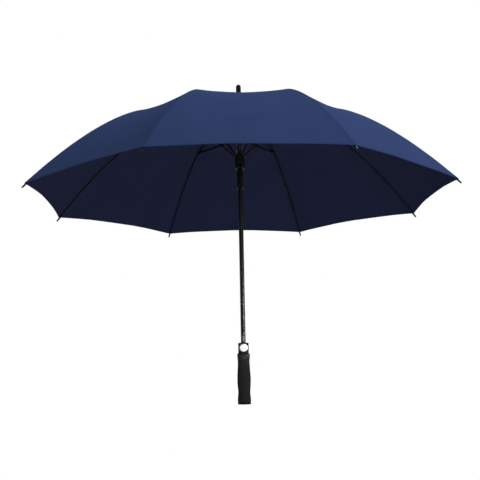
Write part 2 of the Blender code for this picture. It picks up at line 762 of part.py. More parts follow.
def build_canopy():
    """Each panel of cloth is centred on its rib and ends halfway to the next."""
    line = cloth_line()
    lengths = [(after - before).length for before, after in zip(line, line[1:])]
    total = sum(lengths)
    sheet = bmesh.new()
    rows = []
    for index, spot in enumerate(line):
        chord = 2 * spot.x * math.sin(math.pi / RIB_COUNT)
        inset = 1 - PANEL_GAP / chord
        distance = sum(lengths[:index])
        row = [panel_point(line, distance, total, share * inset) for share in CLOTH_SHARES]
        rows.append([sheet.verts.new(point) for point in row])
    for lower, upper in zip(rows, rows[1:]):
        for step in range(len(CLOTH_SHARES) - 1):
            sheet.faces.new((lower[step], upper[step], upper[step + 1], lower[step + 1]))
    hinge = (CLOTH_PLATEAU_RADIUS, 0.0, CLOTH_BASE)
    mesh = finished(sheet, "canopy_panel", NAVY_CLOTH, hinge)
    for index in range(RIB_COUNT):
        node = node_of(f"canopy_panel_{index + 1}", mesh, hinge, rib_angle(index))
        thick = node.modifiers.new("cloth", "SOLIDIFY")
        thick.thickness = CLOTH
        thick.offset = 1.0


def build_upper_collar():
    foot = SPRING_CEILING
    top = COLLAR_HEIGHT + COLLAR_TOP
    floor = COLLAR_HEIGHT - COLLAR_FLOOR
    ring = turned(
        [(SLIDE_RADIUS, foot), (SLIDE_RADIUS, top), (COLLAR_RADIUS, top), (COLLAR_RADIUS, foot)], hollow=True
    )
    half = COLLAR_EYE_WIDTH / 2 + FIT
    slots = around_ribs((SHAFT_RADIUS - FIT, -half, floor), (2 * COLLAR_RADIUS, half, top + FIT))
    tunnel = wire_ring(HINGE_RADIUS, COLLAR_HEIGHT, WIRE_RADIUS + FIT)
    place("upper_collar", cut(ring, slots, tunnel), BLACK_PLASTIC, (0.0, 0.0, COLLAR_HEIGHT))
    wire = wire_ring(HINGE_RADIUS, COLLAR_HEIGHT, WIRE_RADIUS)
    place("collar_wire", wire, SPRING_STEEL, (0.0, 0.0, COLLAR_HEIGHT))


def build_runner():
    top = RUNNER_PIVOT_HEIGHT + RUNNER_TOP
    bead = RUNNER_SLEEVE_RADIUS + RUNNER_BEAD
    chamfer = RUNNER_TOP / 2
    profile = [(SPRING_POCKET_RADIUS, top), (RUNNER_RADIUS, top)]
    profile += [(RUNNER_RADIUS, RUNNER_SHOULDER + RUNNER_TOP), (RUNNER_RADIUS - chamfer, RUNNER_SHOULDER)]
    profile += [(RUNNER_SLEEVE_RADIUS, RUNNER_SHOULDER)]
    for share in RUNNER_BEAD_SHARES:
        middle = RUNNER_SHOULDER - RUNNER_SLEEVE_LENGTH * share
        profile += [(RUNNER_SLEEVE_RADIUS, middle + 2 * RUNNER_BEAD), (bead, middle)]
        profile += [(RUNNER_SLEEVE_RADIUS, middle - 2 * RUNNER_BEAD)]
    profile += [(RUNNER_SLEEVE_RADIUS, RUNNER_FOOT), (SLIDE_RADIUS, RUNNER_FOOT)]
    profile += [(SLIDE_RADIUS, SPRING_SEAT), (SPRING_POCKET_RADIUS, SPRING_SEAT)]
    body = turned(profile, hollow=True)
    slots = around_ribs(
        (RUNNER_PIVOT_RADIUS - RUNNER_SLOT_DEPTH, STRUT_INNER - FIT, RUNNER_PIVOT_HEIGHT - RUNNER_SLOT_FLOOR),
        (2 * RUNNER_RADIUS, STRUT_OUTER + FIT, top + FIT),
    )
    half = RUNNER_KEYWAY_WIDTH / 2
    low = (-half, -2 * RUNNER_SLEEVE_RADIUS, RUNNER_FOOT - FIT)
    keyway = box(low, (half, -SHAFT_RADIUS / 2, RUNNER_FOOT + KEYWAY_LENGTH))
    place("runner", cut(body, slots, keyway), BLACK_PLASTIC, (0.0, 0.0, RUNNER_PIVOT_HEIGHT))

    foot = SPRING_SEAT + FIT + SPRING_WIRE_RADIUS
    ceiling = SPRING_CEILING - FIT - SPRING_WIRE_RADIUS
    radii = (SPRING_RADIUS, SPRING_RADIUS)
    spring = coil(foot, ceiling, radii, SPRING_WIRE_RADIUS, SPRING_TURNS, SPRING_STEPS)
    place("opening_spring", spring, SPRING_STEEL)


def build_handle():
    cap_edge = END_CAP_HEIGHT / 4
    end_cap = turned(
        [
            (0.0, 0.0),
            (END_CAP_RADIUS - cap_edge, 0.0),
            (END_CAP_RADIUS, cap_edge),
            (END_CAP_RADIUS, END_CAP_HEIGHT - cap_edge),
            (END_CAP_RADIUS - cap_edge, END_CAP_HEIGHT),
            (0.0, END_CAP_HEIGHT),
        ]
    )
    place("handle_end_cap", end_cap, BLACK_PLASTIC)

    core_foot = END_CAP_HEIGHT + FIT
    dock = GRIP_TOP - DOCK_DEPTH
    core = turned(
        [
            (GLUE_RADIUS, core_foot),
            (GLUE_RADIUS, dock),
            (DOCK_RADIUS, dock),
            (DOCK_RADIUS, GRIP_TOP),
            (CORE_RADIUS, GRIP_TOP),
            (CORE_RADIUS, core_foot),
        ],
        hollow=True,
    )
    place("handle_core", core, BLACK_PLASTIC)

    length = GRIP_TOP - core_foot
    profile = [(CORE_RADIUS + FIT, core_foot), (CORE_RADIUS + FIT, GRIP_TOP)]
    for step in range(ROLL_STEPS + 1):
        angle = math.pi / 2 - GRIP_ROLL_TURN * step / ROLL_STEPS
        radius = GRIP_ROLL_RADIUS - GRIP_ROLL * (1 - math.cos(angle))
        profile.append((radius, GRIP_TOP - GRIP_ROLL * (1 - math.sin(angle))))
    bends = (
        (0.855, GRIP_NECK_RADIUS),
        (0.75, mix(GRIP_NECK_RADIUS, GRIP_PALM_RADIUS, 0.1)),
        (0.62, mix(GRIP_NECK_RADIUS, GRIP_PALM_RADIUS, 0.6)),
        (0.50, GRIP_PALM_RADIUS),
        (0.41, GRIP_PALM_RADIUS),
        (0.30, mix(GRIP_PALM_RADIUS, GRIP_WAIST_RADIUS, 0.5)),
        (0.20, GRIP_WAIST_RADIUS),
        (0.14, mix(GRIP_WAIST_RADIUS, GRIP_FLARE_RADIUS, 0.35)),
        (0.06, GRIP_FLARE_RADIUS),
        (0.0, GRIP_FLARE_RADIUS),
    )
    profile += [(radius, core_foot + length * share) for share, radius in bends]
    place("handle_grip", turned(profile, hollow=True), BLACK_FOAM)


def build_button_collar(floor, front):
    well = BUTTON_RADIUS + FIT
    boss_front = front - BUTTON_RIM / 3
    boss_radius = mix(well, COLLAR_CAN_HEIGHT / 2, BOSS_SHARE)
    can = turned(
        [
            (0.0, CAN_TOP),
            (COLLAR_CAN_RADIUS - COLLAR_CAN_EDGE, CAN_TOP),
            (COLLAR_CAN_RADIUS, CAN_TOP - COLLAR_CAN_EDGE),
            (COLLAR_CAN_RADIUS, CAN_BASE),
            (0.0, CAN_BASE),
        ]
    )
    boss = forward_hole(boss_radius, 0.0, boss_front, ROUND_SIDES)
    low = CAN_BASE - FIT
    high = CAN_TOP + FIT
    bore = turned([(0.0, low), (DOCK_RADIUS, low), (DOCK_RADIUS, high), (0.0, high)])
    pocket = forward_hole(well, floor, 2 * floor, WELL_SIDES)
    stem_hole = forward_hole(BUTTON_STEM_RADIUS + FIT, 0.0, 2 * floor)
    place("button_collar", cut(joined(can, boss), bore, pocket, stem_hole), BLACK_PLASTIC)


def build_latch(leaf_front):
    half = LEAF_WIDTH / 2
    leaf_back = leaf_front - LEAF_THICKNESS
    leaf = box((-half, -leaf_front, CAN_BASE), (half, -leaf_back, CATCH_TOP))
    proud = SHAFT_RADIUS + CATCH_PROUD
    outline = (
        (leaf_back + FIT, CATCH_TOP - FIT),
        (proud - FIT, CATCH_TOP - FIT),
        (proud, CATCH_TOP - CATCH_LENGTH / 3),
        (leaf_front, CATCH_FOOT + FIT),
        (leaf_back + FIT, CATCH_FOOT + FIT),
    )
    tooth = bmesh.new()
    rings = []
    for side in (FIT - half, half - FIT):
        rings.append([tooth.verts.new((side, -depth, height)) for depth, height in outline])
    skin_rings(tooth, rings)
    tooth.faces.new(rings[0])
    tooth.faces.new(rings[1])
    place("latch_catch", joined(leaf, tooth), BRIGHT_METAL, (0.0, -leaf_front, BUTTON_HEIGHT))


def build_button():
    """The button sits in a round well on the front of its collar and pushes the latch leaf by its stem."""
    floor = DOCK_RADIUS + BUTTON_SEAT_WALL
    back = floor + BUTTON_TRAVEL + FIT
    front = back + BUTTON_RIM
    build_button_collar(floor, front)

    leaf_front = SHAFT_BORE - LEAF_THICKNESS / 2
    build_latch(leaf_front)
    stem_tip = leaf_front + FIT
    profile = [(0.0, stem_tip), (BUTTON_STEM_RADIUS, stem_tip), (BUTTON_STEM_RADIUS, back)]
    profile += [(BUTTON_RADIUS, back), (BUTTON_RADIUS, front - BUTTON_RIM / 4)]
    profile += dome(BUTTON_RADIUS, front, BUTTON_DOME)
    pivot = (0.0, -back, BUTTON_HEIGHT)
    place("button", turned_forward(profile, BUTTON_HEIGHT), BRIGHT_METAL, pivot)

    foot = floor + FIT + BUTTON_SPRING_WIRE
    top = back - FIT - BUTTON_SPRING_WIRE
    radii = (BUTTON_RADIUS * BUTTON_SPRING_FOOT, BUTTON_RADIUS * BUTTON_SPRING_TOP)
    spring = coil(foot, top, radii, BUTTON_SPRING_WIRE, BUTTON_SPRING_TURNS, BUTTON_SPRING_STEPS)
    place("button_spring", facing_forward(spring, BUTTON_HEIGHT), SPRING_STEEL, pivot)


build_shaft()
build_crown()
build_ribs()
build_canopy()
build_upper_collar()
build_runner()
build_handle()
build_button()
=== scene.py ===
"""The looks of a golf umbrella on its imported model: cloth canopy, rods, mouldings, springs and foam grip.

A rib's own frame is used for the cloth: outward from the shaft, aside along the rib's hinges, and up.
"""

import json
import math

import bpy
import numpy as np
from mathutils import Matrix, Vector

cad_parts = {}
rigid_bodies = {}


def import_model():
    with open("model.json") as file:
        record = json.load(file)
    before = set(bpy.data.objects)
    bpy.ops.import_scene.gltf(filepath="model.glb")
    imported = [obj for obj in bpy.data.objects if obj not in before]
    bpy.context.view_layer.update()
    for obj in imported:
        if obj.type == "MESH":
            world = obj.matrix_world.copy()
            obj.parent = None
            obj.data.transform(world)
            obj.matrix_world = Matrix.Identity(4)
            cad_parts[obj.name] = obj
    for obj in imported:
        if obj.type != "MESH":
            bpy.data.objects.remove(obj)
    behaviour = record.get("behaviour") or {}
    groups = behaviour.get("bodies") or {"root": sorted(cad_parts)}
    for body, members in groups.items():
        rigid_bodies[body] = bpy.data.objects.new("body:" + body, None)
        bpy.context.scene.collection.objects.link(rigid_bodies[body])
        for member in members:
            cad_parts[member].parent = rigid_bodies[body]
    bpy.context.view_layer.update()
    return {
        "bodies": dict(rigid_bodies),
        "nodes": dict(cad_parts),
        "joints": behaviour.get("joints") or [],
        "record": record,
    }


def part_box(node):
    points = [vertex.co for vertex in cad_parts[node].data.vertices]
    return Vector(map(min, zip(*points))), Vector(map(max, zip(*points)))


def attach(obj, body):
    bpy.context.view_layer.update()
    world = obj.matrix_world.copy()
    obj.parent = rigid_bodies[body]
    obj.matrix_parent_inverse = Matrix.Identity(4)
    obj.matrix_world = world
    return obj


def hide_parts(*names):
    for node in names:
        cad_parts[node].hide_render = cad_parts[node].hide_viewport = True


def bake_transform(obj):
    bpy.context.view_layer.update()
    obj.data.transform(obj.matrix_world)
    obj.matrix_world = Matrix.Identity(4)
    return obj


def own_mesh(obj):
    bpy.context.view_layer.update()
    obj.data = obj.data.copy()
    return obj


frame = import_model()
cad_nodes = frame["nodes"]
joint_to = {joint["child"]: joint for joint in frame["joints"]}
joint_named = {joint["name"]: joint for joint in frame["joints"]}
ratio_of = {pair["joint"]: pair["ratio"] for pair in frame["record"]["behaviour"]["couplings"]}
UP = Vector((0.0, 0.0, 1.0))

# Photograph
PHOTO_WIDTH = 480
FOCAL_PIXELS = 798.8
SENSOR = 36.0
CAMERA_PLACE = (-0.0954, -2.3690, 0.1011)
CAMERA_LOOK = (0.03806, 0.98643, 0.15969)
CAMERA_UP = (0.01306, -0.16029, 0.98698)

# Floor and sky
FLOOR_DROP = 0.90
FLOOR_RADIUS = 3.2
FLOOR_SIDES = 96
FLOOR_TONES = ((0.80, 0.80, 0.80, 1.0), (0.83, 0.83, 0.83, 1.0))
FLOOR_TONE_SCALE = 3.0
FLOOR_FADE = (0.35, 0.98)
FLOOR_ROUGH = 0.8
SKY_TOP = 0.66
SKY_FOOT = 0.22
SKY_SPAN = (-0.2, 0.8)
SKY_COLOUR = (0.97, 0.985, 1.0, 1.0)

# Lamps: name, place, size, watts, the place it faces, and its opening in degrees
CANOPY_MIDDLE = (0.0, 0.0, 0.6)
SHAFT_MIDDLE = (0.0, 0.0, 0.44)
SHAFT_FOOT = (0.0, 0.0, 0.275)
LAMPS = (
    ("key_lamp", (1.0, 0.6, 3.3), (1.2, 1.2), 56.0, CANOPY_MIDDLE, 180.0),
    ("strip_lamp", (1.45, -2.15, 0.55), (0.40, 1.9), 22.0, CANOPY_MIDDLE, 180.0),
    ("shaft_lamp", (0.20, -0.30, 0.44), (0.24, 0.54), 0.6, SHAFT_MIDDLE, 180.0),
    ("rim_lamp", (1.0, 2.0, 2.6), (1.4, 1.4), 6.0, CANOPY_MIDDLE, 180.0),
    ("gleam_lamp", (0.74, -0.51, 0.30), (0.13, 0.20), 0.26, SHAFT_FOOT, 13.0),
)

# Canopy, with shares of a panel's width that count from a rib
CLOTH = 0.0006
HEM_RISE = 0.0120
PANEL_SAG = 0.0095
HEM_WIDTH = 0.0090
HEM_FOLD = 0.0009
HEM_STEP = 0.0005
RIPPLE = 0.0007
RIPPLES_ACROSS = 2.0
RIPPLES_ALONG = 1.3
RIPPLE_SHIFT = 1.7
MID_PANEL = 0.5
DENSE_SHARES = np.linspace(0.0, MID_PANEL, 201)
CROWN_SHARES = np.array((0.0, 0.07, 0.18, 0.32, 0.50))
STRIP_COLUMNS = np.array((0.0, 0.4, 1.0))
PLEAT_COLUMNS = np.array((0.0, 0.12, 0.28, 0.48, 0.72, 1.0))
ROW_LENGTH = 0.014
LINE_STEPS = 14
CUT_STEPS = 600
NORMAL_STEP = 0.004
PLACE_DIGITS = 5
ROSETTE_RADII = np.array((0.0165, 0.0190, 0.0215, 0.0240, 0.0265, 0.0285, 0.0295))
ROSETTE_LIFT = 0.0008

# Shut canopy: strips that lie on the ribs, and pleats that stand out between them
CROWN_HELD = 0.0190
CROWN_CUT_TRIES = np.linspace(0.01, 0.10, 181)
PLEAT_GAP = 0.0004
PLEAT_LEAN = 0.0066
PLEAT_START = 0.01
JOINT_LAP = 0.0130
JOINT_LAP_FROM = 0.12
JOINT_LAP_LEAST = 0.0002
JOINT_LAP_UNDER = 1.2

# Cloth finish
THREADS_PER_METRE = 1600.0
THREAD_STREAK = (0.02, 1.0, 1.0)
WEAVE_HEIGHT = 0.12
SEAM_WIDTH = 0.0045
SEAM_ALLOWANCE = 0.0080
SEAM_STITCHED_AT = 0.75
HEM_STITCHED_AT = 0.8
STITCH_PITCH = 0.0028
STITCH_HALF_WIDTH = 0.0004
STITCH_BREAK = -0.4
STITCH_SHOWN = 0.7
STITCH_DEPTH = 0.6
# How much darker the raised seam and hem layers are painted: painted shade beside the ribs and along the hem
SEWN_PAINTED_SHADE = 0.35
SEWN_HEIGHT = 0.0004
CLOTH_TONE_SCALE = 9.0
TONE_BROAD = 0.55
TONE_THREADS = 0.45
CLOTH_TONE_SPAN = (0.2, 0.8)
CLOTH_ROUGH = (0.55, 0.68)

# Coats, mouldings and metals
NOISE_SPAN = (0.3, 0.7)
GLOSS_FINE = 0.4
GLOSS_BROAD = 0.6
DUST_SCALE = 60.0
DUST_SPAN = (0.45, 0.75)
DUST_PALER = 0.04
RUB_SCALE = 900.0
RUB_STRETCH = (1.0, 1.0, 0.12)
RUB_SPAN = (0.60, 0.72)
RUB_PATCH_SCALE = 45.0
RUB_PATCH_SPAN = (0.48, 0.66)
RUB_PALER = 0.10
COAT_RUB_DULLER = 0.2
METAL_RUBS = 0.5
METAL_RUB_DULLER = 0.15
METAL_GLOSSIER = 0.05
METAL_DULLER = 0.10
METAL_GRAIN_DEPTH = 0.00001

# Foam finish
FOAM_DARK = (0.019, 0.019, 0.0195, 1.0)
FOAM_HANDLED = (0.025, 0.025, 0.0255, 1.0)
# Paler foam for real rubs, and also painted along each crease's lip as a highlight
FOAM_RUBBED_AND_HIGHLIGHT = (0.070, 0.070, 0.070, 1.0)
FOAM_CELL_SCALE = 1500.0
FOAM_PATCH_SCALE = 40.0
FOAM_PATCH_SPAN = (0.35, 0.7)
FOAM_RUBS = 0.25
FOAM_ROUGH = (0.78, 0.92)
FOAM_PIT_DEPTH = 0.00025
FOAM_CELL_HEIGHT = 0.7
FOAM_PATCH_HEIGHT = 0.6

# Grip: the cuff as depths below the top and radii, and creases as depth, slant and the side each one faces
GRIP_SIDES = 72
GRIP_CUFF_ROWS = 56
GRIP_ROWS = 70
GRIP_CUFF = (
    (0.0, 0.0160),
    (0.0008, 0.0173),
    (0.0024, 0.0183),
    (0.0050, 0.0189),
    (0.0085, 0.0190),
    (0.0120, 0.0186),
)
GRIP_CUFF_END = 0.0160
GRIP_CREASED = 0.0280
GRIP_CREASE = 0.0012
GRIP_CREASE_WIDTH = 0.0011
GRIP_CREASE_REACH = 0.5
GRIP_LIP = 0.0020
GRIP_CREASES = (
    (0.0061, 0.0030, -1.9),
    (0.0125, 0.0050, -0.9),
    (0.0080, -0.0030, 1.6),
    (0.0140, 0.0020, 2.9),
)
GRIP_UNEVEN = 0.00012
GRIP_UNEVEN_FROM = 0.002
GRIP_SWELLS = ((2, 70.0), (3, -110.0))

# Springs
OPENING_WIRE = 0.0007
OPENING_TURNS = 16
BUTTON_WIRE = 0.00025
BUTTON_TURNS = 3
BUTTON_CONE = 0.62
END_TURN_RISE = 2.2
COIL_STEPS = 24
WIRE_SIDES = 8


def camera_of_photo():
    """The camera that was fitted to the photograph."""
    look = Vector(CAMERA_LOOK).normalized()
    right = look.cross(Vector(CAMERA_UP)).normalized()
    above = right.cross(look)
    turn = Matrix((right, above, -look)).transposed().to_4x4()
    lens = bpy.data.cameras.new("photo_camera")
    lens.sensor_width = SENSOR
    lens.lens = FOCAL_PIXELS * SENSOR / PHOTO_WIDTH
    camera = bpy.data.objects.new("photo_camera", lens)
    camera.matrix_world = Matrix.Translation(CAMERA_PLACE) @ turn
    bpy.context.scene.collection.objects.link(camera)
    bpy.context.scene.camera = camera


# Shader helpers
VALUE = "NodeSocketFloat"
PLACE = "NodeSocketVector"


def plug(tree, socket, value):
    """Give a socket a plain value, or link another node's output to it."""
    if isinstance(value, bpy.types.NodeSocket):
        tree.links.new(value, socket)
    else:
        socket.default_value = value


def node(tree, kind, inputs=None, **settings):
    made = tree.nodes.new(kind)
    for key, value in settings.items():
        setattr(made, key, value)
    for key, value in (inputs or {}).items():
        plug(tree, made.inputs[key], value)
    return made


def maths(tree, operation, first, second=0.0, clamp=False):
    inputs = {0: first, 1: second}
    return node(tree, "ShaderNodeMath", inputs, operation=operation, use_clamp=clamp).outputs[0]


def spread(tree, value, low, high, to_low=0.0, to_high=1.0):
    """A value moved from one span to another."""
    inputs = {"Value": value, "From Min": low, "From Max": high, "To Min": to_low, "To Max": to_high}
    return node(tree, "ShaderNodeMapRange", inputs).outputs["Result"]


def blended(tree, share, first, second):
    """A mix of two colours."""
    made = node(tree, "ShaderNodeMix", data_type="RGBA")
    for key, value in (("Factor", share), ("A", first), ("B", second)):
        plug(tree, [socket for socket in made.inputs if socket.name == key and socket.enabled][0], value)
    return [socket for socket in made.outputs if socket.enabled][0]


def noise(tree, place, scale, detail=3.0, roughness=0.5):
    inputs = {"Vector": place, "Scale": scale, "Detail": detail, "Roughness": roughness}
    return node(tree, "ShaderNodeTexNoise", inputs).outputs["Fac"]


def stretched(tree, place, scale):
    return node(tree, "ShaderNodeMapping", {"Vector": place, "Scale": scale}).outputs[0]


def bump(tree, height, depth, strength):
    inputs = {"Height": height, "Distance": depth, "Strength": strength}
    return node(tree, "ShaderNodeBump", inputs).outputs["Normal"]


def near_line(tree, value, line, half_width):
    """One within half a width of a line, else nought."""
    off = maths(tree, "ABSOLUTE", maths(tree, "SUBTRACT", value, line))
    return maths(tree, "LESS_THAN", off, half_width)


def sine(tree, value, rate):
    """The sine of a value times a rate."""
    return maths(tree, "SINE", maths(tree, "MULTIPLY", value, rate))


def weighed(tree, first, first_weight, second, second_weight):
    """The sum of two values, each times its weight."""
    first_part = maths(tree, "MULTIPLY", first, first_weight)
    second_part = maths(tree, "MULTIPLY", second, second_weight)
    return maths(tree, "ADD", first_part, second_part)


def group(name, inputs, outputs):
    """An empty node group with named sockets, and its two ends."""
    tree = bpy.data.node_groups.new(name, "ShaderNodeTree")
    for label, kind in inputs:
        tree.interface.new_socket(label, in_out="INPUT", socket_type=kind)
    for label in outputs:
        tree.interface.new_socket(label, in_out="OUTPUT", socket_type=VALUE)
    return tree, tree.nodes.new("NodeGroupInput").outputs, tree.nodes.new("NodeGroupOutput").inputs


def use_group(tree, made, inputs):
    placed = node(tree, "ShaderNodeGroup", node_tree=made)
    for key, value in inputs.items():
        plug(tree, placed.inputs[key], value)
    return placed.outputs


def weave_group():
    """Threads over and under each other: their height, and how light each one is."""
    tree, given, put = group("plain_weave", [("Place", PLACE), ("Threads", VALUE)], ["Height", "Shade"])
    inputs = {0: given["Place"], 3: given["Threads"]}
    scaled = node(tree, "ShaderNodeVectorMath", inputs, operation="SCALE").outputs[0]
    parts = node(tree, "ShaderNodeSeparateXYZ", {0: scaled}).outputs
    warp = maths(tree, "ABSOLUTE", sine(tree, parts[0], math.pi))
    weft = maths(tree, "ABSOLUTE", sine(tree, parts[1], math.pi))
    over = node(tree, "ShaderNodeTexChecker", {"Vector": scaled, "Scale": 1.0}).outputs["Fac"]
    warp_up = maths(tree, "MULTIPLY", warp, over)
    weft_up = maths(tree, "MULTIPLY", weft, maths(tree, "SUBTRACT", 1.0, over))
    tree.links.new(maths(tree, "ADD", warp_up, weft_up), put["Height"])
    tree.links.new(noise(tree, stretched(tree, scaled, THREAD_STREAK), 1.0, detail=2.0), put["Shade"])
    return tree


def sewn_group():
    """The sewn lines beside a rib and along the hem: their stitches, and the layers that they raise."""
    tree, given, put = group(
        "sewn_lines",
        [("Aside", VALUE), ("Along", VALUE), ("To hem", VALUE), ("Seam", VALUE)],
        ["Stitch", "Raised"],
    )
    off_rib = maths(tree, "ABSOLUTE", given["Aside"])
    turn = 2 * math.pi / STITCH_PITCH
    seam_line = maths(tree, "MULTIPLY", given["Seam"], SEAM_STITCHED_AT)
    seam_row = near_line(tree, off_rib, seam_line, STITCH_HALF_WIDTH)
    seam_dash = maths(tree, "GREATER_THAN", sine(tree, given["Along"], turn), STITCH_BREAK)
    hem_row = near_line(tree, given["To hem"], HEM_WIDTH * HEM_STITCHED_AT, STITCH_HALF_WIDTH)
    hem_dash = maths(tree, "GREATER_THAN", sine(tree, given["Aside"], turn), STITCH_BREAK)
    seam_stitch = maths(tree, "MULTIPLY", seam_row, seam_dash)
    hem_stitch = maths(tree, "MULTIPLY", hem_row, hem_dash)
    tree.links.new(maths(tree, "MAXIMUM", seam_stitch, hem_stitch), put["Stitch"])
    seam_layer = maths(tree, "LESS_THAN", off_rib, given["Seam"])
    hem_layer = maths(tree, "LESS_THAN", given["To hem"], HEM_WIDTH)
    tree.links.new(maths(tree, "MAXIMUM", seam_layer, hem_layer), put["Raised"])
    return tree


def skin_group():
    """The fine skin of a moulding or coat, the dust that gathers on it, and how its gloss wanders."""
    tree, given, put = group(
        "moulded_skin", [("Place", PLACE), ("Grain", VALUE), ("Dust", VALUE)], ["Height", "Dusty", "Gloss"]
    )
    fine = noise(tree, given["Place"], given["Grain"], detail=2.0)
    broad = noise(tree, given["Place"], DUST_SCALE, detail=4.0, roughness=0.6)
    tree.links.new(fine, put["Height"])
    tree.links.new(maths(tree, "MULTIPLY", spread(tree, broad, *DUST_SPAN), given["Dust"]), put["Dusty"])
    tree.links.new(weighed(tree, fine, GLOSS_FINE, broad, GLOSS_BROAD), put["Gloss"])
    return tree


def scuff_group():
    """Hairline rubs left by use."""
    tree, given, put = group("hairline_rubs", [("Place", PLACE), ("Amount", VALUE)], ["Rubbed"])
    drawn_out = stretched(tree, given["Place"], RUB_STRETCH)
    lines = noise(tree, drawn_out, RUB_SCALE, detail=3.0, roughness=0.7)
    patches = noise(tree, given["Place"], RUB_PATCH_SCALE, detail=2.0)
    rubbed = maths(tree, "MULTIPLY", spread(tree, lines, *RUB_SPAN), spread(tree, patches, *RUB_PATCH_SPAN))
    tree.links.new(maths(tree, "MULTIPLY", rubbed, given["Amount"]), put["Rubbed"])
    return tree


WEAVE = weave_group()
SEWN = sewn_group()
SKIN = skin_group()
RUBS = scuff_group()


def finish_start(name):
    """A new material: itself, its tree, its shader's sockets and the place of a point."""
    made = bpy.data.materials.new(name)
    made.use_nodes = True
    tree = made.node_tree
    shader = [item for item in tree.nodes if item.type == "BSDF_PRINCIPLED"][0]
    place = node(tree, "ShaderNodeTexCoord").outputs["Object"]
    return made, tree, shader.inputs, place


def cloth_finish(name, deep, light, thread, seam):
    """Woven cloth whose threads vary a little, with sewn lines beside the ribs and along the hem, whose
    raised layers are painted darker as shade.
    """
    made, tree, sockets, place = finish_start(name)
    cut = node(tree, "ShaderNodeUVMap", uv_map="cut").outputs[0]
    spot = node(tree, "ShaderNodeSeparateXYZ", {0: cut}).outputs
    to_hem = node(tree, "ShaderNodeAttribute", attribute_name="to_hem").outputs["Fac"]
    threads = use_group(tree, WEAVE, {"Place": cut, "Threads": THREADS_PER_METRE})
    sewn = use_group(tree, SEWN, {"Aside": spot[0], "Along": spot[1], "To hem": to_hem, "Seam": seam})
    broad = noise(tree, place, CLOTH_TONE_SCALE, roughness=0.55)
    tone = weighed(tree, broad, TONE_BROAD, threads["Shade"], TONE_THREADS)
    woven = blended(tree, spread(tree, tone, *NOISE_SPAN), deep, light)
    # Painted shade: the raised seam and hem layers are darkened towards the deep navy
    seam_shaded = blended(tree, maths(tree, "MULTIPLY", sewn["Raised"], SEWN_PAINTED_SHADE), woven, deep)
    stitched = blended(tree, maths(tree, "MULTIPLY", sewn["Stitch"], STITCH_SHOWN), seam_shaded, thread)
    tree.links.new(stitched, sockets["Base Color"])
    tree.links.new(spread(tree, tone, *CLOTH_TONE_SPAN, *CLOTH_ROUGH), sockets["Roughness"])
    weave_height = maths(tree, "MULTIPLY", threads["Height"], WEAVE_HEIGHT)
    stitch_depth = maths(tree, "MULTIPLY", sewn["Stitch"], STITCH_DEPTH)
    height = maths(tree, "ADD", weave_height, maths(tree, "SUBTRACT", sewn["Raised"], stitch_depth))
    tree.links.new(bump(tree, height, SEWN_HEIGHT, strength=0.6), sockets["Normal"])
    sockets["Specular IOR Level"].default_value = 0.0
    sockets["Sheen Weight"].default_value = 0.01
    sockets["Sheen Roughness"].default_value = 0.5
    return made


def paler(colour, more):
    return tuple(channel + more for channel in colour[:3]) + (1.0,)


def coat_finish(name, colour, rough, specular, grain, dust, rubs, depth, wander=0.2):
    """A black moulding, coat or rod: fine skin, a little dust, and rubs that show paler and duller."""
    made, tree, sockets, place = finish_start(name)
    skin = use_group(tree, SKIN, {"Place": place, "Grain": grain, "Dust": dust})
    rubbed = use_group(tree, RUBS, {"Place": place, "Amount": rubs})["Rubbed"]
    coloured = blended(tree, skin["Dusty"], colour, paler(colour, DUST_PALER))
    tree.links.new(blended(tree, rubbed, coloured, paler(colour, RUB_PALER)), sockets["Base Color"])
    gloss = spread(tree, skin["Gloss"], *NOISE_SPAN, rough * (1 - wander), rough * (1 + wander))
    duller = maths(tree, "MULTIPLY", rubbed, COAT_RUB_DULLER)
    tree.links.new(maths(tree, "ADD", gloss, duller), sockets["Roughness"])
    tree.links.new(bump(tree, skin["Height"], depth, strength=0.6), sockets["Normal"])
    sockets["Specular IOR Level"].default_value = specular
    return made


def foam_finish():
    """Closed-cell foam: a skin of fine pits, paler where hands have rubbed it, and with painted highlights
    along the lips of the grip's creases.
    """
    made, tree, sockets, place = finish_start("black_foam_skin")
    inputs = {"Vector": place, "Scale": FOAM_CELL_SCALE}
    cells = node(tree, "ShaderNodeTexVoronoi", inputs).outputs["Distance"]
    broad = noise(tree, place, FOAM_PATCH_SCALE, detail=4.0, roughness=0.6)
    rubbed = use_group(tree, RUBS, {"Place": place, "Amount": FOAM_RUBS})["Rubbed"]
    crease_highlight = node(tree, "ShaderNodeAttribute", attribute_name="crease_highlight").outputs["Fac"]
    handled = blended(tree, spread(tree, broad, *FOAM_PATCH_SPAN), FOAM_DARK, FOAM_HANDLED)
    # Paler where rubbed, and painted paler along the crease lips as a highlight
    coloured = blended(tree, maths(tree, "MAXIMUM", rubbed, crease_highlight), handled, FOAM_RUBBED_AND_HIGHLIGHT)
    tree.links.new(coloured, sockets["Base Color"])
    tree.links.new(spread(tree, broad, *NOISE_SPAN, *FOAM_ROUGH), sockets["Roughness"])
    height = weighed(tree, cells, FOAM_CELL_HEIGHT, broad, FOAM_PATCH_HEIGHT)
    tree.links.new(bump(tree, height, FOAM_PIT_DEPTH, strength=0.7), sockets["Normal"])
    sockets["Specular IOR Level"].default_value = 0.02
    return made


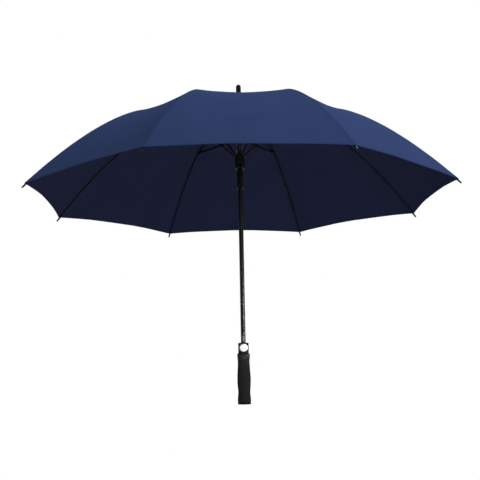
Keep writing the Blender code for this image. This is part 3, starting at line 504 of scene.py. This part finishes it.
def metal_finish(name, bright, dull, rough, grain):
    """Plated or drawn metal, with smudges that dull it and hairline rubs."""
    made, tree, sockets, place = finish_start(name)
    skin = use_group(tree, SKIN, {"Place": place, "Grain": grain, "Dust": 1.0})
    rubbed = use_group(tree, RUBS, {"Place": place, "Amount": METAL_RUBS})["Rubbed"]
    smudged = blended(tree, skin["Dusty"], bright, dull)
    tree.links.new(blended(tree, rubbed, smudged, dull), sockets["Base Color"])
    gloss = spread(tree, skin["Gloss"], *NOISE_SPAN, rough - METAL_GLOSSIER, rough + METAL_DULLER)
    duller = maths(tree, "MULTIPLY", rubbed, METAL_RUB_DULLER)
    tree.links.new(maths(tree, "ADD", gloss, duller), sockets["Roughness"])
    tree.links.new(bump(tree, skin["Height"], METAL_GRAIN_DEPTH, strength=0.5), sockets["Normal"])
    sockets["Metallic"].default_value = 1.0
    return made


FACE = cloth_finish(
    "navy_cloth_face",
    deep=(0.027, 0.046, 0.127, 1.0),
    light=(0.032, 0.055, 0.148, 1.0),
    thread=(0.014, 0.022, 0.060, 1.0),
    seam=SEAM_WIDTH,
)
# The back is the face's navy cloth painted darker: painted shade under the canopy, not a colour of its own.
SHADED_BACK = cloth_finish(
    "navy_cloth_back_painted_shade",
    deep=(0.0165, 0.0200, 0.049, 1.0),
    light=(0.0205, 0.0250, 0.061, 1.0),
    thread=(0.032, 0.038, 0.078, 1.0),
    seam=SEAM_ALLOWANCE,
)
SHAFT_ROD = coat_finish(
    "gloss_black_shaft",
    (0.0015, 0.0015, 0.0018, 1.0),
    rough=0.37,
    specular=0.13,
    grain=700.0,
    dust=0.05,
    rubs=0.05,
    depth=0.000001,
    wander=0.04,
)
RIB_ROD = coat_finish(
    "black_rib_rod",
    (0.004, 0.004, 0.0048, 1.0),
    rough=0.30,
    specular=0.05,
    grain=900.0,
    dust=0.15,
    rubs=0.25,
    depth=0.00001,
)
STEEL = coat_finish(
    "black_coated_steel",
    (0.006, 0.006, 0.007, 1.0),
    rough=0.30,
    specular=0.08,
    grain=1500.0,
    dust=0.15,
    rubs=0.40,
    depth=0.00003,
)
MOULDING = coat_finish(
    "satin_black_moulding",
    (0.007, 0.007, 0.008, 1.0),
    rough=0.40,
    specular=0.04,
    grain=2200.0,
    dust=0.20,
    rubs=0.20,
    depth=0.00003,
)
# The mouldings' black painted a touch paler and bluer for the runner and upper collar: painted light standing
# in for the bluish light under the canopy. Its gloss is its own.
RUNNER_PAINTED_LIGHT = coat_finish(
    "runner_black_painted_light",
    (0.007, 0.0075, 0.009, 1.0),
    rough=0.26,
    specular=0.06,
    grain=2200.0,
    dust=0.20,
    rubs=0.40,
    depth=0.00003,
)
FOAM = foam_finish()
PLATED = metal_finish(
    "bright_plate", bright=(0.88, 0.89, 0.89, 1.0), dull=(0.66, 0.71, 0.69, 1.0), rough=0.30, grain=1200.0
)
LATCH_STEEL = metal_finish(
    "latch_steel", bright=(0.30, 0.31, 0.31, 1.0), dull=(0.12, 0.12, 0.12, 1.0), rough=0.30, grain=1500.0
)
WIRE = metal_finish(
    "drawn_wire", bright=(0.12, 0.11, 0.09, 1.0), dull=(0.04, 0.036, 0.030, 1.0), rough=0.30, grain=1800.0
)

FINISH_OF_SLOT = {
    "navy_cloth": FACE,
    "black_fibreglass": RIB_ROD,
    "black_steel": STEEL,
    "black_plastic": MOULDING,
    "black_foam": FOAM,
    "bright_metal": PLATED,
    "spring_steel": WIRE,
}
FINISH_OF_NODE = {
    "shaft_tube": SHAFT_ROD,
    "runner": RUNNER_PAINTED_LIGHT,
    "upper_collar": RUNNER_PAINTED_LIGHT,
    "latch_catch": LATCH_STEEL,
}


def dress_cad_nodes():
    """Give each CAD node its finish."""
    for part in frame["record"]["subparts"]:
        finish = FINISH_OF_NODE.get(part["node"], FINISH_OF_SLOT[part["material_slot"]])
        slots = cad_nodes[part["node"]].data.materials
        slots.clear()
        slots.append(finish)


def new_piece(name, vertices, faces, finishes):
    """A smooth-shaded object of points and faces, with its finishes."""
    mesh = bpy.data.meshes.new(name)
    mesh.from_pydata([tuple(vertex) for vertex in vertices], [], faces)
    for finish in finishes:
        mesh.materials.append(finish)
    mesh.shade_smooth()
    piece = bpy.data.objects.new(name, mesh)
    bpy.context.scene.collection.objects.link(piece)
    return piece


def smooth_line(stations):
    """A smooth line through stations: its points, and how far along it each one is."""
    steps = np.linalg.norm(np.diff(stations, axis=0), axis=1)
    slopes = np.diff(stations, axis=0) / steps[:, None]
    crossed = slopes[:-1] * steps[1:, None] + slopes[1:] * steps[:-1, None]
    inner = crossed / (steps[1:] + steps[:-1])[:, None]
    tangents = np.vstack((slopes[:1], inner, slopes[-1:]))
    share = np.linspace(0.0, 1.0, LINE_STEPS, endpoint=False)[:, None]
    square = share**2
    cube = share**3
    parts = []
    for i, step in enumerate(steps):
        ends = stations[i] * (2 * cube - 3 * square + 1) + stations[i + 1] * (3 * square - 2 * cube)
        leave = tangents[i] * step * (cube - 2 * square + share)
        arrive = tangents[i + 1] * step * (cube - square)
        parts.append(ends + leave + arrive)
    points = np.vstack([*parts, stations[-1:]])
    along = np.concatenate(([0.0], np.cumsum(np.linalg.norm(np.diff(points, axis=0), axis=1))))
    return points, along


class Rib:
    """One rib's own frame, and places in it."""

    def __init__(self, number):
        self.number = number
        self.aside = Vector(joint_to[f"inner_rib_{number}"]["axis"])
        self.outward = self.aside.cross(UP)
        self.turn = np.array((self.outward, self.aside, UP))

    def placed(self, points):
        """Points given as outward, aside and up, in the frame of the part."""
        return np.asarray(points) @ self.turn

    def plane_place(self, place):
        """How far from the shaft and how high a place is."""
        return np.array((Vector(place).dot(self.outward), place[2]))


def cloth_stations(rib):
    """The middle of the cloth over a rib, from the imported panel, as distance from the shaft and height."""
    spots = set()
    for vertex in cad_nodes[f"canopy_panel_{rib.number}"].data.vertices:
        if abs(vertex.co.dot(rib.aside)) < CLOTH / 4:
            spots.add((round(vertex.co.dot(rib.outward), PLACE_DIGITS), round(vertex.co.z, PLACE_DIGITS)))
    ordered = np.array(sorted(spots))
    return (ordered[0::2] + ordered[1::2]) / 2


ribs = [Rib(int(body.split("_")[-1])) for body in frame["bodies"] if body.startswith("inner_rib_")]
PANEL_ANGLE = 2 * math.pi / len(ribs)
HALF_ANGLE = PANEL_ANGLE / 2
rib_points, rib_along = smooth_line(cloth_stations(ribs[0]))
RIB_LENGTH = rib_along[-1]
CROWN_HINGE = ribs[0].plane_place(joint_to["inner_rib_1"]["pos_m"])
RIB_JOINT = ribs[0].plane_place(joint_to["outer_rib_1"]["pos_m"])
JOINT_CUT = float(np.interp(RIB_JOINT[0], rib_points[:, 0], rib_along))
FOLD_END = math.radians(joint_named["fold"]["range_deg"][1])
STRAIGHTEN_END = FOLD_END * ratio_of["outer_rib_1_straighten"]
PLEAT_NORMAL = np.array((-math.sin(HALF_ANGLE), math.cos(HALF_ANGLE), -PLEAT_LEAN))
PLEAT_FOOT = np.array((0.0, 0.0, CROWN_HINGE[1])) - PLEAT_GAP * PLEAT_NORMAL


def turned_down(points, hinge, angle):
    """Points of a rib's frame after a turn about a hinge of the rib, outward and down."""
    outward = points[..., 0] - hinge[0]
    upward = points[..., 2] - hinge[1]
    new_outward = hinge[0] + outward * math.cos(angle) + upward * math.sin(angle)
    new_upward = hinge[1] + upward * math.cos(angle) - outward * math.sin(angle)
    return np.stack((new_outward, points[..., 1], new_upward), axis=-1)


def when_shut(points, outer):
    """Where points that ride the inner or outer rib lie when the umbrella is shut."""
    if outer:
        points = turned_down(points, RIB_JOINT, STRAIGHTEN_END)
    return turned_down(points, CROWN_HINGE, FOLD_END)


def when_open(points, outer):
    """Where points of the shut umbrella that ride the inner or outer rib lie when it is open."""
    points = turned_down(points, CROWN_HINGE, -FOLD_END)
    return turned_down(points, RIB_JOINT, -STRAIGHTEN_END) if outer else points


def cloth_shape(distance, share):
    """Points of the taut cloth, by distance from the crown and share of a panel's width from the rib."""
    bow = 4 * share * (1 - share)
    pulled = distance - HEM_RISE * bow * (distance / RIB_LENGTH) ** 3
    radius = np.interp(pulled, rib_along, rib_points[:, 0])
    height = np.interp(pulled, rib_along, rib_points[:, 1])
    height = height - PANEL_SAG * bow * np.sin(math.pi * distance / RIB_LENGTH)
    outward = radius * (1 - share + share * math.cos(PANEL_ANGLE))
    aside = radius * share * math.sin(PANEL_ANGLE)
    return np.stack((outward, aside, height), axis=-1)


def cloth_point(distance, share, panel, from_left):
    """Points of the cloth with the waves that the pull of the ribs leaves in one panel."""
    points = cloth_shape(distance, share)
    reach = np.clip(distance / RIB_LENGTH, 0.0, 1.0)
    across = share if from_left else 1.0 - share
    wave = np.sin(2 * math.pi * (RIPPLES_ACROSS * across + RIPPLES_ALONG * reach) + RIPPLE_SHIFT * panel)
    points[..., 2] += RIPPLE * np.sin(math.pi * across) * reach * wave
    return points


def cloth_normal(distance, share, panel, from_left):
    """Directions square to the cloth, from points a little to each side."""
    near = NORMAL_STEP
    across = cloth_point(distance, share + near, panel, from_left)
    across = across - cloth_point(distance, np.maximum(share - near, 0.0), panel, from_left)
    along = cloth_point(np.minimum(distance + near, RIB_LENGTH), share, panel, from_left)
    along = along - cloth_point(np.maximum(distance - near, 0.0), share, panel, from_left)
    normal = np.cross(along, across)
    return normal / np.linalg.norm(normal, axis=-1, keepdims=True)


def cut_line(at, shares=DENSE_SHARES):
    """The distances at which a cut square to the rib crosses some shares of a panel."""
    near = ROW_LENGTH / 8
    ends = cloth_shape(np.array((at - near, at, at + near)), np.zeros(3))
    ahead = (ends[2] - ends[0]) / np.linalg.norm(ends[2] - ends[0])
    grid = np.linspace(0.0, RIB_LENGTH, CUT_STEPS)
    levels = [(cloth_shape(grid, np.full(len(grid), share)) - ends[1]) @ ahead for share in shares]
    return np.array([np.interp(0.0, level, grid) for level in levels])


def lines_between(begin, end):
    """Lines across a panel from one line to another, about a row apart."""
    count = max(3, round(float((end - begin).max()) / ROW_LENGTH))
    return begin + (end - begin) * np.linspace(0.0, 1.0, count + 1)[:, None]


def beyond_pleat(lines, outer):
    """How far points on lines across a panel lie beyond the foot of the pleat when the umbrella is shut."""
    shares = np.broadcast_to(DENSE_SHARES, lines.shape)
    return (when_shut(cloth_shape(lines, shares), outer) - PLEAT_FOOT) @ PLEAT_NORMAL


def spots_on(lines, shares):
    """The distances and shares of points on lines across a panel."""
    distance = np.array([np.interp(share, DENSE_SHARES, line) for line, share in zip(lines, shares)])
    return distance, shares


def strip_and_pleat(lines, outer):
    """Part the lines of a panel into the strip that lies on the rib and the cloth that folds into a pleat."""
    beyond = beyond_pleat(lines, outer)
    edge = np.array([np.interp(0.0, level, DENSE_SHARES) for level in beyond])
    edge = np.minimum(edge, MID_PANEL - PLEAT_START)[:, None]
    pleat_shares = edge + (MID_PANEL - edge) * PLEAT_COLUMNS
    return spots_on(lines, edge * STRIP_COLUMNS), spots_on(lines, pleat_shares)


def crown_cut():
    """Where a panel grows wide enough to need a pleat."""
    reached = np.array([cut_line(at, (MID_PANEL,))[0] for at in CROWN_CUT_TRIES])
    middle = when_shut(cloth_shape(reached, np.full(len(reached), MID_PANEL)), False)
    return float(np.interp(0.0, (middle - PLEAT_FOOT) @ PLEAT_NORMAL, CROWN_CUT_TRIES))


def rosette_spots():
    """The distances and shares of the rosette's points, and how far each one is from its sewn edge."""
    straight = 1 - CROWN_SHARES + CROWN_SHARES * math.cos(PANEL_ANGLE)
    across = np.hypot(straight, CROWN_SHARES * math.sin(PANEL_ANGLE))
    reach = np.interp(ROSETTE_RADII[:, None] / across, rib_points[:, 0], rib_along)
    to_edge = np.broadcast_to((ROSETTE_RADII[-1] - ROSETTE_RADII)[:, None], reach.shape) + HEM_WIDTH / 2
    return (reach, np.broadcast_to(CROWN_SHARES, reach.shape)), to_edge


def lapped(inner_lines, joint_line):
    """The inner pleat's lines with a lap past the rib joint, and how far each point stands off the cloth."""
    widening = np.maximum(DENSE_SHARES - JOINT_LAP_FROM, 0.0)
    lap = JOINT_LAP_LEAST + JOINT_LAP * widening / (MID_PANEL - JOINT_LAP_FROM)
    lines = np.vstack((inner_lines, joint_line + JOINT_LAP_LEAST / 2, joint_line + lap))
    lift = np.zeros((len(lines), len(PLEAT_COLUMNS)))
    lift[-2:] = -JOINT_LAP_UNDER * CLOTH
    return lines, lift


def cloth_piece(name, middle, normals, out, into, cut, to_hem, flip):
    """A closed sheet on a grid of points: a face, a back and the rim, with the cloth's own normals."""
    rows, columns = middle.shape[:2]
    count = rows * columns
    index = np.arange(count).reshape(rows, columns)
    border = np.concatenate((index[0], index[1:, -1], index[-1, -2::-1], index[-2:0:-1, 0]))
    after = np.roll(border, -1)
    face = np.stack((index[:-1, :-1], index[1:, :-1], index[1:, 1:], index[:-1, 1:]), axis=-1).reshape(-1, 4)
    back = face[:, ::-1] + count
    rim = np.stack((border, after, after + count, border + count), axis=-1)
    faces = np.vstack((face, back, rim))
    if flip:
        faces = faces[:, ::-1]
    upper = (middle + normals * out[..., None]).reshape(-1, 3)
    lower = (middle - normals * into[..., None]).reshape(-1, 3)
    piece = new_piece(name, np.vstack((upper, lower)), faces.tolist(), (FACE, SHADED_BACK))
    mesh = piece.data
    kinds = np.concatenate((np.zeros(len(face), int), np.ones(len(back), int), np.zeros(len(rim), int)))
    mesh.polygons.foreach_set("material_index", kinds)
    loops = faces.reshape(-1)
    mesh.uv_layers.new(name="cut").data.foreach_set("uv", cut.reshape(-1, 2)[loops % count].reshape(-1))
    mesh.attributes.new("to_hem", "FLOAT", "POINT").data.foreach_set("value", np.tile(to_hem.reshape(-1), 2))
    across_rim = np.zeros(len(faces) * 3)
    mesh.polygons.foreach_get("normal", across_rim)
    kept = normals.reshape(-1, 3)[loops % count] * np.repeat(1 - 2 * kinds, 4)[:, None]
    on_rim = np.repeat(np.arange(len(faces)) >= 2 * len(face), 4)
    kept[on_rim] = np.repeat(across_rim.reshape(-1, 3), 4, axis=0)[on_rim]
    mesh.normals_split_custom_set(kept.tolist())
    return piece


def cloth_part(name, rib, side, spots, lift=0.0, hem_spots=None):
    """A piece of half a panel beside a rib, on a grid of distances and shares."""
    distance, share = spots
    # The cloth between two ribs waves as one, so it is numbered by the rib on its left
    panel = rib.number if side > 0 else (rib.number - 2) % len(ribs) + 1
    mirror = np.array((1.0, side, 1.0))
    normals = cloth_normal(distance, share, panel, side > 0) * mirror
    grid = cloth_point(distance, share, panel, side > 0) * mirror + normals * np.asarray(lift)[..., None]
    to_hem = RIB_LENGTH - distance if hem_spots is None else hem_spots
    out = np.full(distance.shape, CLOTH / 2)
    into = out + HEM_FOLD * (RIB_LENGTH - distance < HEM_WIDTH - HEM_STEP / 2)
    cut = np.stack((grid[..., 1], distance), axis=-1)
    label = f"{name}_{rib.number}_{'right' if side > 0 else 'left'}"
    piece = cloth_piece(label, rib.placed(grid), rib.placed(normals), out, into, cut, to_hem, flip=side < 0)
    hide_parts(f"canopy_panel_{rib.number}")
    return piece


def fold_pleat(pleat, rib, side, outer):
    """Work out where a pleat's fold line would lie, towards the middle between two ribs, and give the pleat a
    mesh of its own.
    """
    mirror = np.array((1.0, side, 1.0))
    anchor = when_open(PLEAT_FOOT * mirror, outer)
    axis = when_open((PLEAT_FOOT + PLEAT_NORMAL) * mirror, outer) - anchor
    tuple(rib.placed(axis))
    tuple(rib.placed(anchor))
    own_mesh(pleat)


def canopy():
    """The cloth beside each rib: crown, rosette, and a strip and a pleat on each part of the rib."""
    crown_at = crown_cut()
    crown_line = cut_line(crown_at)
    joint_line = cut_line(JOINT_CUT)
    hem_line = np.full(len(DENSE_SHARES), RIB_LENGTH)
    crown_lines = lines_between(np.zeros(len(DENSE_SHARES)), crown_line)
    crown = spots_on(crown_lines, np.broadcast_to(CROWN_SHARES, (len(crown_lines), len(CROWN_SHARES))))
    inner_lines = lines_between(crown_line, joint_line)
    hem = (hem_line - HEM_WIDTH + HEM_STEP, hem_line)
    outer_lines = np.vstack((lines_between(joint_line, hem_line - HEM_WIDTH), *hem))
    lapped_lines, lap_lift = lapped(inner_lines, joint_line)
    inner_strip = strip_and_pleat(inner_lines, False)[0]
    inner_pleat = strip_and_pleat(lapped_lines, False)[1]
    outer_strip, outer_pleat = strip_and_pleat(outer_lines, True)
    rosette, rosette_hem = rosette_spots()
    bend_end = float(np.interp(crown_at, rib_along, rib_points[:, 0]))
    for rib in ribs:
        inner_rib = f"inner_rib_{rib.number}"
        outer_rib = f"outer_rib_{rib.number}"
        bend = [tuple(rib.placed((reach, 0.0, CROWN_HINGE[1]))) for reach in (CROWN_HELD, bend_end)]
        for side in (1, -1):
            bent = [
                cloth_part("crown_cloth", rib, side, crown),
                cloth_part("rosette", rib, side, rosette, ROSETTE_LIFT, rosette_hem),
            ]
            for piece in bent:
                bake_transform(piece)
            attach(cloth_part("inner_strip", rib, side, inner_strip), inner_rib)
            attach(cloth_part("outer_strip", rib, side, outer_strip), outer_rib)
            pleat = cloth_part("inner_pleat", rib, side, inner_pleat, lap_lift)
            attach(pleat, inner_rib)
            fold_pleat(pleat, rib, side, False)
            pleat = cloth_part("outer_pleat", rib, side, outer_pleat)
            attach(pleat, outer_rib)
            fold_pleat(pleat, rib, side, True)


def round_about(points, sides):
    """Rings about the shaft's axis, one for each (radius, height)."""
    angle = np.linspace(0.0, 2 * math.pi, sides, endpoint=False)
    radius = points[:, :1]
    height = np.broadcast_to(points[:, 1:], (len(points), sides))
    return np.stack((radius * np.cos(angle), radius * np.sin(angle), height), axis=-1)


def ring_faces(rings, sides, closed):
    """Four-sided faces between neighbouring rings."""
    index = np.arange(rings * sides).reshape(rings, sides)
    after = np.roll(index, -1, axis=0) if closed else index[1:]
    before = index if closed else index[:-1]
    stack = (before, np.roll(before, -1, axis=1), np.roll(after, -1, axis=1), after)
    return np.stack(stack, axis=-1).reshape(-1, 4).tolist()


def grip_outline():
    """The grip's bore, and its outside as (radius, height) from the top down: cuff, then packed skin."""
    places = [vertex.co for vertex in cad_nodes["handle_grip"].data.vertices]
    spots = {(round(math.hypot(*place[:2]), PLACE_DIGITS), round(place.z, PLACE_DIGITS)) for place in places}
    bore = min(spots)[0]
    top = max(height for radius, height in spots)
    cuff = [(radius, top - below) for below, radius in GRIP_CUFF]
    skin = [spot for spot in spots if spot[0] > bore and top - spot[1] > GRIP_CUFF_END]
    points, along = smooth_line(np.array(cuff + sorted(skin, key=lambda spot: -spot[1])))
    creased = np.linspace(0.0, GRIP_CREASED, GRIP_CUFF_ROWS, endpoint=False)
    rows = np.concatenate((creased, np.linspace(GRIP_CREASED, along[-1], GRIP_ROWS)))
    return bore, np.stack([np.interp(rows, along, points[:, axis]) for axis in (0, 1)], axis=-1)


def foam_grip():
    """The foam sleeve: its rolled top, slanting creases below it with a painted highlight along each lip, and
    a surface that hands have shaped.
    """
    bore, outline = grip_outline()
    rings = round_about(outline, GRIP_SIDES)
    angle = np.linspace(0.0, 2 * math.pi, GRIP_SIDES, endpoint=False)[None, :]
    below = (outline[0, 1] - outline[:, 1])[:, None]
    first, second = [np.sin(around * angle + along * below) for around, along in GRIP_SWELLS]
    push = GRIP_UNEVEN * (first * second) * (below > GRIP_UNEVEN_FROM)
    crease_highlight = np.zeros(push.shape)
    for depth, slant, turn in GRIP_CREASES:
        strength = np.clip(GRIP_CREASE_REACH + np.cos(angle - turn), 0.0, 1.0)
        off = (below - depth + slant * np.cos(angle)) / GRIP_CREASE_WIDTH
        push -= GRIP_CREASE * strength * np.exp(-(off**2))
        # Painted highlight: the lip just below each crease is marked to be painted paler
        crease_highlight = np.maximum(crease_highlight, strength * np.exp(-((off - GRIP_LIP / GRIP_CREASE_WIDTH) ** 2)))
    rings[..., :2] *= (1 + push / outline[:, :1])[..., None]
    tube = round_about(np.array(((bore, outline[-1, 1]), (bore, outline[0, 1]))), GRIP_SIDES)
    rings = np.concatenate((rings, tube))[::-1]
    faces = ring_faces(len(rings), GRIP_SIDES, closed=True)
    piece = new_piece("foam_grip", rings.reshape(-1, 3), faces, [FOAM])
    crease_highlights = np.concatenate((crease_highlight, np.zeros((len(tube), GRIP_SIDES))))[::-1]
    piece.data.attributes.new("crease_highlight", "FLOAT", "POINT").data.foreach_set("value", crease_highlights.reshape(-1))
    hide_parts("handle_grip")
    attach(piece, "shaft")


def coil(name, ends, radii, wire, turns):
    """A spring of round wire about +Z, between the heights of its end wires, with flat end turns."""
    up = np.array(UP)
    turn = np.arange(turns * COIL_STEPS + 1) / COIL_STEPS
    flat = END_TURN_RISE * wire / (ends[1] - ends[0])
    share = np.interp(turn, (0.0, 1.0, turns - 1.0, turns), (0.0, flat, 1.0 - flat, 1.0))
    radius = radii[0] + (radii[1] - radii[0]) * share
    height = ends[0] + (ends[1] - ends[0]) * share
    angle = 2 * math.pi * turn
    out = np.stack((np.cos(angle), np.sin(angle), np.zeros(len(angle))), axis=-1)
    centre = out * radius[:, None] + up * height[:, None]
    tilt = 2 * math.pi * np.arange(WIRE_SIDES) / WIRE_SIDES
    around = out[:, None, :] * np.cos(tilt)[:, None] + up * np.sin(tilt)[:, None]
    rings = centre[:, None, :] + wire * around
    faces = ring_faces(len(rings), WIRE_SIDES, closed=False)
    last = (len(rings) - 1) * WIRE_SIDES
    faces += [list(range(WIRE_SIDES))[::-1], list(range(last, last + WIRE_SIDES))]
    piece = new_piece(name, rings.reshape(-1, 3), faces, [WIRE])
    return piece


def opening_spring():
    """The coil between the runner and the upper collar, carried by the upper collar."""
    low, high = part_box("opening_spring")
    radius = high[0] - OPENING_WIRE
    ends = (low[2] + OPENING_WIRE, high[2] - OPENING_WIRE)
    spring = coil("opening_coil", ends, (radius, radius), OPENING_WIRE, OPENING_TURNS)
    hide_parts("opening_spring")
    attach(spring, "upper_collar")
    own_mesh(spring)


def button_spring():
    """The cone of wire behind the button."""
    low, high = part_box("button_spring")
    height = (low[2] + high[2]) / 2
    radius = high[0] - BUTTON_WIRE
    ends = (-high[1] + BUTTON_WIRE, -low[1] - BUTTON_WIRE)
    spring = coil("button_coil", ends, (radius, radius * BUTTON_CONE), BUTTON_WIRE, BUTTON_TURNS)
    spring.data.transform(Matrix.Translation((0.0, 0.0, height)) @ Matrix.Rotation(math.pi / 2, 4, "X"))
    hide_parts("button_spring")
    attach(spring, "shaft")
    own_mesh(spring)


def pale_floor():
    """A floor that fades out towards its rim."""
    rim = round_about(np.array(((FLOOR_RADIUS, -FLOOR_DROP),)), FLOOR_SIDES)[0]
    made, tree, sockets, place = finish_start("pale_floor")
    tone = blended(tree, noise(tree, place, FLOOR_TONE_SCALE), *FLOOR_TONES)
    tree.links.new(tone, sockets["Base Color"])
    flat = stretched(tree, place, (1.0, 1.0, 0.0))
    reach = node(tree, "ShaderNodeVectorMath", {0: flat}, operation="LENGTH").outputs["Value"]
    fade = spread(tree, reach, FLOOR_RADIUS * FLOOR_FADE[0], FLOOR_RADIUS * FLOOR_FADE[1], 1.0, 0.0)
    above = maths(tree, "SUBTRACT", 1.0, node(tree, "ShaderNodeNewGeometry").outputs["Backfacing"])
    tree.links.new(maths(tree, "MULTIPLY", fade, above), sockets["Alpha"])
    sockets["Roughness"].default_value = FLOOR_ROUGH
    new_piece("floor", rim, [list(range(FLOOR_SIDES))], [made])


def soft_sky():
    """Light from all round, stronger from above, and plain white where the camera or a gloss sees it."""
    world = bpy.data.worlds.new("studio")
    world.use_nodes = True
    tree = world.node_tree
    tree.nodes.clear()
    path = node(tree, "ShaderNodeLightPath").outputs
    seen = maths(tree, "ADD", path["Is Camera Ray"], path["Is Glossy Ray"])
    seen = maths(tree, "ADD", seen, path["Is Transmission Ray"], clamp=True)
    towards = node(tree, "ShaderNodeTexCoord").outputs["Generated"]
    up = node(tree, "ShaderNodeSeparateXYZ", {0: towards}).outputs[2]
    level = spread(tree, up, *SKY_SPAN, SKY_FOOT, SKY_TOP)
    soft = node(tree, "ShaderNodeBackground", {"Color": SKY_COLOUR, "Strength": level})
    white = node(tree, "ShaderNodeBackground", {"Color": (1.0, 1.0, 1.0, 1.0), "Strength": 1.0})
    both = node(tree, "ShaderNodeMixShader", {0: seen, 1: soft.outputs[0], 2: white.outputs[0]})
    node(tree, "ShaderNodeOutputWorld", {"Surface": both.outputs[0]})
    bpy.context.scene.world = world


def hang_lamps():
    for name, place, size, watts, aimed_at, opening in LAMPS:
        lamp = bpy.data.lights.new(name, "AREA")
        lamp.shape = "RECTANGLE"
        lamp.size, lamp.size_y = size
        lamp.energy = watts
        lamp.spread = math.radians(opening)
        holder = bpy.data.objects.new(name, lamp)
        aim = (Vector(aimed_at) - Vector(place)).to_track_quat("-Z", "Y").to_matrix().to_4x4()
        holder.matrix_world = Matrix.Translation(place) @ aim
        holder.visible_camera = False
        bpy.context.scene.collection.objects.link(holder)


def studio():
    pale_floor()
    soft_sky()
    hang_lamps()
    bpy.context.scene.view_settings.view_transform = "Standard"


camera_of_photo()
dress_cad_nodes()
canopy()
foam_grip()
opening_spring()
button_spring()
studio()
